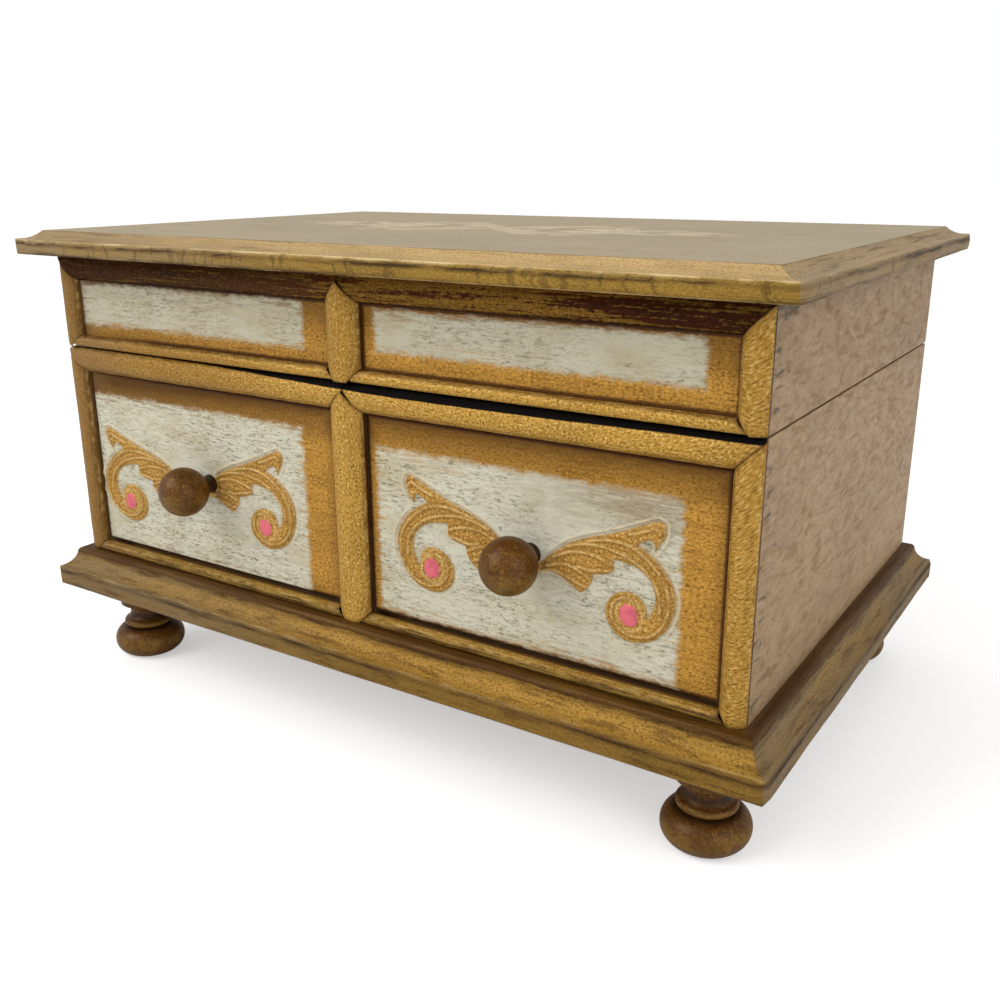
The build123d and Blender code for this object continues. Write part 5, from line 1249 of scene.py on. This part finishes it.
def slab_profile(height):
    """Inset and height from the slab's outer edge inwards: rounded band, step, cove, flat top."""
    band, bulge = mm("slab_band"), mm("slab_bulge")
    step = bulge + mm("slab_step")
    top = step + mm("slab_cove")
    middle = ((step + top) / 2 + 0.5, (band + height) / 2 - 0.5)
    nose = arc((bulge, 0.0), (0.0, band / 2), (bulge, band), 13)
    cove = arc((step, band), middle, (top, height), 12)
    profile = path([(SLAB_UNDER, 0.0)], nose, dense([(bulge, band), (step, band)], 0.3), cove)
    return profile, bulge, top, band


def slab_top_lines(half, dense_half, pitch):
    """Grid lines across the top: close together under the motif and wide apart outside it."""
    inner = np.arange(-dense_half, dense_half + pitch / 2, pitch)
    outer = np.linspace(dense_half, half, 14)[1:]
    return np.concatenate([-outer[::-1], inner, outer])


def motif_maps(x, y):
    """Painted motif on the top: leafy scrolls, mirrored about both middle lines, and blossoms.

    The scrolls are those of the fronts, turned about their stems and stretched. A blossom's rim is a circle
    whose radius rises and falls five times.
    """
    y = y - 2.0
    cream = np.zeros(x.shape)
    blush = np.zeros(x.shape)
    for start, wide, tall, turn in MOTIF_SCROLLS:
        for side in (-1, 1):
            for up in (-1, 1):
                u = (side * x - start) / wide
                v = up * y / tall
                along = u * math.cos(turn) + v * math.sin(turn) + 2.4
                maps = scroll_maps(along, v * math.cos(turn) - u * math.sin(turn) - 2.8)
                strokes = np.maximum(maps["ridge"], maps["cord"])
                cream = np.maximum(cream, np.maximum(strokes, maps["leaf"] * 0.7 * (1 - maps["groove"])))
                blush = np.maximum(blush, np.maximum(maps["eye"], maps["groove"] * 0.8))
    for across, along, size in MOTIF_BLOSSOMS:
        away = np.hypot(x - across, (y - along) / 0.8)
        petals = size * (1 + 0.28 * np.cos(5 * np.arctan2(y - along, x - across) + across))
        blush = np.maximum(blush, smooth(petals + 0.4, petals - 0.4, away))
        cream = np.maximum(cream, bell(away - petals, 0.25))
    return np.clip(cream, 0, 1), blush


def build_slab():
    """Lid slab: a moulded edge round a flat top that carries the painted motif."""
    low, high = span("lid_slab")
    height = high[2] - low[2]
    profile, bulge, top, band = slab_profile(height)
    rubbed, hollow = edge_fields(profile, [(bulge, band)], [(0.1, band * 0.72), (bulge, 0.0)])
    banded = ((profile[:, 1] < band - 0.02) & (profile[:, 1] > 0.01)) * 1.0
    fields = {"edge": rubbed, "hollow": hollow, "band": banded, "stain": banded * 0}
    fields = {name: np.append(value, 0) for name, value in fields.items()}
    skirt = path(profile, [(top + 0.6, height - 0.04)])
    shell = Shell()
    moulded_edge(shell, low, high, skirt, mm("slab_corner"), 2.0, 0.22, **fields)
    middle = (low + high) / 2
    half = (high - low) / 2 - top
    xs, ys = (slab_top_lines(half[i], MOTIF_HALF[i], mm("motif_pitch")) for i in (0, 1))
    x, y = np.meshgrid(xs, ys, indexing="ij")
    cream, blush = motif_maps(x, y)
    flat = np.stack([x + middle[0], y + middle[1], np.full(x.shape, high[2])], axis=2)
    shell.grid(flat, u=xs, v=ys, coat=1, cream=cream, blush=blush)
    flat_sheet(shell, low, high, SLAB_UNDER - 1.0, low[2], True, 2)
    tones = (colour("cove"), colour("nose"), colour("patina", 1.08))
    edge_paint = finish(board_edge, "slab_edge", "lid_slab", *tones, 0.4, True)
    coats = [edge_paint, finish(slab_top_paint, "slab_top_paint"), bare()]
    shell.piece("lid_slab_moulded", "lid_slab", "lid", "top_wood", coats)


def build_base():
    """Base board with its moulded edge."""
    low, high = span("base_board")
    profile, arris, quirk = base_profile(high[2] - low[2])
    hollows = [quirk, (quirk[0] - 0.5, quirk[1] - 0.5), (0.0, arris[1] - arris[0]), (BASE_UNDER, 0.0)]
    rubbed, hollow = edge_fields(profile, [arris], hollows)
    banded = smooth(arris[1] + 0.3, arris[1] - 0.3, profile[:, 1])
    beaded = smooth(quirk[1] - 0.1, quirk[1] + 0.3, profile[:, 1])
    fields = {"edge": rubbed, "hollow": hollow, "band": banded, "stain": beaded}
    shell = Shell()
    moulded_edge(shell, low, high, profile, mm("base_corner"), 5.0, 0.3, **fields)
    flat_sheet(shell, low, high, BASE_UNDER - 1.0, low[2], True, 1)
    flat_sheet(shell, low, high, mm("base_overhang") + 4.0, high[2], False, 1)
    tones = (colour("gold", 0.76), colour("gold", 0.46), colour("patina", 0.74))
    paint = finish(board_edge, "base_edge", "base_board", *tones, 0.75, False)
    shell.piece("base_board_moulded", "base_board", "case", "gilt_wood", [paint, bare()])


def foot_outline(height):
    """Half section of a turned foot from the table up: bun, ring, neck, collar."""
    waist, collar = 5.9, 7.4
    bun = arc((6.0, 0.0), (10.0, FOOT_BUN / 2), (waist, FOOT_BUN), 22)
    ring = arc((waist, FOOT_BUN), (waist + 1.0, (FOOT_BUN + FOOT_RING) / 2), (waist, FOOT_RING), 9)
    neck = arc((waist, FOOT_RING), (waist - 1.0, FOOT_RING + 1.92), (collar, FOOT_RING + 4.8), 12)
    return path([(0.0, 0.0)], [(5.6, 0.0)], bun, ring, neck, [(collar, height - 1.0)], [(collar, height)])


def build_foot(corner):
    """One turned foot, dark in its quirks; the rounds of bun and ring get rubbed gold and painted highlight.
    """
    node = "foot_" + corner
    centre = sum(span(node)) / 2
    outline = foot_outline(span("base_board")[0][2])
    radius, height = outline[:, 0], outline[:, 1]
    hollow = np.maximum(bell(height - FOOT_BUN, 0.25), bell(height - FOOT_RING - 1.4, 1.2))
    hollow = np.maximum(hollow, smooth(FOOT_RING + 4, FOOT_RING + 7, height) * 0.8)
    rub = np.maximum(smooth(9.2, 10.0, radius), bell(height - (FOOT_BUN + FOOT_RING) / 2, 0.5))
    shell = Shell()
    turned(shell, outline, np.array([centre[0], centre[1], 0.0]), "z", hollow=hollow, rub=rub)
    paint = finish(turned_brown, "foot_brown", 0.75)
    shell.piece("turned_" + node, node, "case", "dark_wood", [paint])


def build_knob(side):
    """Ball knob on its stem, turned about the line to the front, with a painted highlight of gold on its
    lower front.
    """
    node = "drawer_" + side + "_knob"
    low, high = span(node)
    radius, stem = mm("knob_radius"), mm("knob_stem")
    panel = span("drawer_" + side + "_front")[0][1]
    middle = panel - low[1] - radius
    centre = (low + high) / 2
    angles = np.linspace(math.asin(stem / radius), math.pi, 30)
    ball = np.stack([radius * np.sin(angles), middle - radius * np.cos(angles)], axis=1)
    foot = [(stem - 0.2, 0.0), (stem - 0.4, 1.0), (stem - 0.3, 1.8), (stem, 2.6)]
    outline = path(dense(foot, 0.4), ball)
    # The stem is near black beside the panel: painted shade behind the ball.
    hollow = smooth(4.2, 2.6, outline[:, 1])
    around = np.sin(np.linspace(0, 2 * math.pi, ROUND, endpoint=False))[:, None]
    # Gold on the lower front of the ball: painted light.
    rub = smooth(0.35, -0.55, around) * smooth(5.0, 8.0, outline[:, 1])[None, :]
    shell = Shell()
    turned(shell, outline, np.array([centre[0], panel, centre[2]]), "y", hollow=hollow, rub=rub)
    paint = finish(turned_brown, "knob_brown", 0.6)
    shell.piece("ball_knob_" + side, node, "drawer_" + side, "dark_wood", [paint])


def build_rolls():
    """Ring rolls: long pads of crowned dome section, drawn in at both ends, with fine tucks there."""
    low, high = span("ring_rolls")
    count, gap = 5, 0.4
    pitch = (high[1] - low[1] + gap) / count
    width = pitch - gap
    top = high[2] - low[2]
    u = np.linspace(0, 1, 90)
    v = np.linspace(-1, 1, 41)
    uu, vv = np.meshgrid(u, v, indexing="ij")
    ends = np.minimum(uu, 1 - uu) * (high[0] - low[0])
    draw = np.sqrt(np.clip(1 - np.clip(1 - ends / 4.0, 0, 1) ** 2, 0, 1))
    turn = vv * math.pi / 2
    half = (width / 2) * (0.86 + 0.14 * draw)
    x = low[0] + uu * (high[0] - low[0])
    shell = Shell()
    for index in range(count):
        middle = low[1] + index * pitch + width / 2
        y = middle + half * np.sign(turn) * np.abs(np.sin(turn)) ** 0.8
        tucks = 0.12 * np.sin(vv * 21 + index) * np.exp(-ends / 5.0)
        rise = top * (0.78 + 0.22 * draw) * np.cos(turn) ** 0.42 + tucks * np.cos(turn)
        rise *= 1 + 0.015 * np.sin(uu * 17 + index * 2.0)
        pad = np.stack([x, y, low[2] + np.clip(rise, 0, top)], axis=2)
        shell.grid(pad, u=u * 80, v=v * 8, flip=True)
        for cut, flip in ((0, False), (-1, True)):
            foot = pad[cut].copy()
            foot[:, 2] = low[2]
            shell.grid(np.stack([pad[cut], foot], axis=0), flip=flip)
    piece = shell.piece("ring_roll_pads", "ring_rolls", "case", "velvet", [velvet()])


def build_lining(name, node, body, card, floored=True, bays=False):
    """Velvet-covered cards inside a box: a floor unless it is open, four walls, the tray's two dividers."""
    low, high = span(node)
    foot = low[2] + card if floored else low[2]
    cards = [
        ((low[0], low[1], foot), (high[0], low[1] + card, high[2])),
        ((low[0], high[1] - card, foot), (high[0], high[1], high[2])),
        ((low[0], low[1] + card, foot), (low[0] + card, high[1] - card, high[2])),
        ((high[0] - card, low[1] + card, foot), (high[0], high[1] - card, high[2])),
    ]
    if floored:
        cards.insert(0, (low, (high[0], high[1], foot)))
    if bays:
        divider, bay_x, bay_y = 3.0, 84.0, 52.0
        split_x = low[0] + card + bay_x
        split_y = low[1] + card + bay_y
        cards.append(((split_x, low[1] + card, foot), (split_x + divider, high[1] - card, high[2])))
        cards.append(((low[0] + card, split_y, foot), (split_x, split_y + divider, high[2])))
    shell = Shell()
    soft = 0.35
    for first, last in cards:
        rounded_block(shell, first, last, soft)
    shell.piece(name, node, body, "velvet", [velvet()])


BRASS = """
hinge_case_leaves hinge_lid_leaves hinge_pins movement_bedplate spring_barrel tune_cylinder
governor_idler governor_fan governor_frame
"""
STEEL = """
hinge_case_screws hinge_lid_screws drawer_left_knob_screw drawer_right_knob_screw movement_screws mainspring
winding_arbor winding_key tone_comb stop_rod_guide stop_rod
"""


def coat_nodes():
    """Finishes of the CAD nodes that stay in view; those that aren't named here are bare wood."""
    bronze, dark = colour("bronze"), colour("bronze_dark")
    side_tones = (bronze, dark, shade(bronze, 1.3), (0.5, 0.16, 0.5), 0.42)
    back_tones = (shade(bronze, 0.82), dark, bronze, (0.4, 0.5, 0.55), 0.45)
    golds = (colour("gold"), colour("gold_dark"), colour("gold_pale"), (0.3, 0.3, 0.8), 0.35)
    chosen = {
        "side_walls lid_side_walls": finish(grained_paint, "side_bronze", *side_tones),
        "back_wall lid_back_wall": finish(grained_paint, "back_bronze", *back_tones),
        "lid_front_board": finish(painted_panel, "lid_paint", LID_FIELDS, lid_panels(), False),
        "mirror_frame": finish(grained_paint, "mirror_frame_gold", *golds),
        "front_rail centre_partition": finish(bare_wood, "dark_bare", 0.45),
        "mirror": finish(silvered_glass, "silvered_glass"),
        BRASS: finish(worked_metal, "brass", colour("brass"), (0.4, 3.0, 3.0), 0.24),
        STEEL: finish(worked_metal, "steel", colour("steel"), (3.0, 0.4, 3.0), 0.26),
    }
    by_node = {name: material for names, material in chosen.items() for name in names.split()}
    for name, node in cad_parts.items():
        if not node.hide_render:
            node.data.materials.clear()
            node.data.materials.append(by_node.get(name) or bare())


def build_stage():
    """Pale floor, even sky, two large lights and the camera."""
    stage = bpy.context.scene.box_stage
    build_sky(stage.sky)
    build_floor()
    studio_light("key_light", stage.key, (-0.55, -0.75, 0.75), 0.7)
    studio_light("fill_light", stage.fill, (0.9, -0.35, 0.45), 0.9)
    eye = bpy.data.cameras.new("photo_camera")
    eye.lens = stage.lens
    eye.sensor_width = 36.0
    eye.sensor_fit = "HORIZONTAL"
    eye.shift_x = stage.shift_x
    eye.shift_y = stage.shift_y
    eye.clip_start = 0.01
    eye.clip_end = 50.0
    camera = placed(bpy.data.objects.new("photo_camera", eye), stage.camera_place)
    turn = Euler((0, 0, stage.camera_yaw)).to_matrix()
    tilt = Euler((math.pi / 2 - stage.camera_pitch, 0, 0)).to_matrix()
    roll = Euler((0, 0, stage.camera_roll)).to_matrix()
    camera.rotation_euler = (turn @ tilt @ roll).to_euler()
    bpy.context.scene.camera = camera
    bpy.context.scene.view_settings.view_transform = "Standard"


def placed(made, place):
    """A new object, put into the scene at its place."""
    bpy.context.scene.collection.objects.link(made)
    made.location = Vector(place)
    return made


def build_sky(strength):
    """Even white sky that lights the box with its strength and shows as plain white to the camera."""
    world = bpy.data.worlds.new("studio_sky")
    bpy.context.scene.world = world
    world.use_nodes = True
    tree = world.node_tree
    back = next(n for n in tree.nodes if n.type == "BACKGROUND")
    seen = tree.nodes.new("ShaderNodeLightPath")
    mixed = tree.nodes.new("ShaderNodeMix")
    mixed.data_type = "FLOAT"
    tree.links.new(seen.outputs["Is Camera Ray"], mixed.inputs[0])
    mixed.inputs[2].default_value = strength
    mixed.inputs[3].default_value = 1.0
    tree.links.new(mixed.outputs[0], back.inputs["Strength"])
    back.inputs["Color"].default_value = (1.0, 1.0, 1.0, 1.0)


def build_floor():
    """Wide pale floor that fades into the sky."""
    mesh = bpy.data.meshes.new("studio_floor")
    reach = 6.0
    corners = [(-reach, -reach, 0), (reach, -reach, 0), (reach, reach, 0), (-reach, reach, 0)]
    mesh.from_pydata(corners, [], [(0, 1, 2, 3)])
    floor = placed(bpy.data.objects.new("studio_floor", mesh), (0, 0, 0))
    r = Recipe("studio_floor", Specular_IOR_Level=0.1, Emission_Strength=1.0)
    cloud = r.noise(r.place(), (0.01, 0.01, 0.01), 2.0)
    seen = r.node("ShaderNodeLightPath", output="Is Camera Ray")
    glow = r.mix(seen, (0.0, 0.0, 0.0), (0.42, 0.42, 0.42))
    feed(r.tree, r.shader.inputs["Emission Color"], glow)
    pale = r.mix(cloud, (0.93, 0.93, 0.93), (0.97, 0.97, 0.97))
    mesh.materials.append(r.done(pale, 0.8 + cloud * 0.1))


def studio_light(name, power, place, size):
    """Square light that faces the middle of the box."""
    lamp = bpy.data.lights.new(name, "AREA")
    lamp.energy = power
    lamp.size = size
    made = placed(bpy.data.objects.new(name, lamp), place)
    aim = Vector((0, 0, 0.06)) - made.location
    made.rotation_euler = aim.to_track_quat("-Z", "Y").to_euler()


class JEWELBOX_OT_slab(bpy.types.Operator):
    """Build the lid's moulded slab with its painted top"""

    bl_idname = "jewelbox.slab"
    bl_label = "Lid Slab"
    bl_options = {"REGISTER", "UNDO"}

    def execute(self, context):
        build_slab()
        return {"FINISHED"}


class JEWELBOX_OT_base(bpy.types.Operator):
    """Build the moulded base board"""

    bl_idname = "jewelbox.base"
    bl_label = "Base Board"
    bl_options = {"REGISTER", "UNDO"}

    def execute(self, context):
        build_base()
        return {"FINISHED"}


class JEWELBOX_OT_feet(bpy.types.Operator):
    """Build the four turned feet"""

    bl_idname = "jewelbox.feet"
    bl_label = "Feet"
    bl_options = {"REGISTER", "UNDO"}

    def execute(self, context):
        for corner in ("front_left", "front_right", "back_left", "back_right"):
            build_foot(corner)
        return {"FINISHED"}


class JEWELBOX_OT_case_frame(bpy.types.Operator):
    """Build the mouldings round the drawers"""

    bl_idname = "jewelbox.case_frame"
    bl_label = "Case Mouldings"
    bl_options = {"REGISTER", "UNDO"}

    def execute(self, context):
        coats = {
            "stiles": gold("stile_gold", hairs=True),
            "muntin": gold("muntin_gold"),
            "top_rails": gold("seam_rail_gold", seam=0.24),
            "bottom_rails": gold("dark_rail_gold", brown=0.9),
        }
        build_frame("front_", "case", mm("case_low_rail"), mm("case_top_rail"), coats)
        return {"FINISHED"}


class JEWELBOX_OT_lid_frame(bpy.types.Operator):
    """Build the mouldings of the lid's front"""

    bl_idname = "jewelbox.lid_frame"
    bl_label = "Lid Mouldings"
    bl_options = {"REGISTER", "UNDO"}

    def execute(self, context):
        coats = {
            "stiles": gold("stile_gold", hairs=True),
            "muntin": gold("muntin_gold"),
            "top_rails": finish(lid_rail_paint, "lid_rail_paint"),
            "bottom_rails": gold("rail_gold"),
        }
        build_frame("lid_", "lid", mm("lid_low_rail"), mm("lid_top_rail"), coats)
        return {"FINISHED"}


class JEWELBOX_OT_fronts(bpy.types.Operator):
    """Build both carved drawer fronts"""

    bl_idname = "jewelbox.fronts"
    bl_label = "Drawer Fronts"
    bl_options = {"REGISTER", "UNDO"}

    def execute(self, context):
        for side in ("left", "right"):
            carved_front(side)
        return {"FINISHED"}


class JEWELBOX_OT_knobs(bpy.types.Operator):
    """Build both ball knobs"""

    bl_idname = "jewelbox.knobs"
    bl_label = "Knobs"
    bl_options = {"REGISTER", "UNDO"}

    def execute(self, context):
        for side in ("left", "right"):
            build_knob(side)
        return {"FINISHED"}


class JEWELBOX_OT_linings(bpy.types.Operator):
    """Build the velvet linings and ring rolls"""

    bl_idname = "jewelbox.linings"
    bl_label = "Linings"
    bl_options = {"REGISTER", "UNDO"}

    def execute(self, context):
        build_lining("tray_velvet", "tray_lining", "case", 1.2, bays=True)
        build_lining("lid_velvet", "lid_lining", "lid", 1.2, floored=False)
        for side in ("left", "right"):
            drawer = "drawer_" + side
            build_lining("drawer_velvet_" + side, drawer + "_lining", drawer, 0.8)
        build_rolls()
        return {"FINISHED"}


class JEWELBOX_OT_finishes(bpy.types.Operator):
    """Give every CAD node that stays in view its finish"""

    bl_idname = "jewelbox.finishes"
    bl_label = "CAD Finishes"
    bl_options = {"REGISTER", "UNDO"}

    def execute(self, context):
        coat_nodes()
        return {"FINISHED"}


class JEWELBOX_OT_stage(bpy.types.Operator):
    """Set up the floor, the light and the camera"""

    bl_idname = "jewelbox.stage"
    bl_label = "Stage"
    bl_options = {"REGISTER", "UNDO"}

    def execute(self, context):
        build_stage()
        return {"FINISHED"}


OPERATORS = (
    JEWELBOX_OT_slab,
    JEWELBOX_OT_base,
    JEWELBOX_OT_feet,
    JEWELBOX_OT_case_frame,
    JEWELBOX_OT_lid_frame,
    JEWELBOX_OT_fronts,
    JEWELBOX_OT_knobs,
    JEWELBOX_OT_linings,
    JEWELBOX_OT_finishes,
    JEWELBOX_OT_stage,
)


class JEWELBOX_PT_sidebar(bpy.types.Panel):
    """Buttons for each piece of the jewelry box"""

    bl_idname = "JEWELBOX_PT_sidebar"
    bl_label = "Jewelry Box"
    bl_space_type = "VIEW_3D"
    bl_region_type = "UI"
    bl_category = "Jewelry Box"

    def draw(self, context):
        for operator in OPERATORS:
            self.layout.operator(operator.bl_idname)


GROUPS = {"box_sizes": BoxSizes, "box_tones": BoxTones, "box_stage": BoxStage}
CLASSES = (*GROUPS.values(), *OPERATORS, JEWELBOX_PT_sidebar)


def register():
    """Registers the classes and hangs the property groups on the scene."""
    for item in CLASSES:
        bpy.utils.register_class(item)
    for name, group in GROUPS.items():
        setattr(bpy.types.Scene, name, PointerProperty(type=group))


def unregister():
    """Takes the classes and property groups away again."""
    for name in GROUPS:
        delattr(bpy.types.Scene, name)
    for item in reversed(CLASSES):
        bpy.utils.unregister_class(item)


def main():
    """Builds every piece in order."""
    register()
    for operator in OPERATORS:
        group, name = operator.bl_idname.split(".")
        getattr(getattr(bpy.ops, group), name)()


if __name__ == "__main__":
    main()
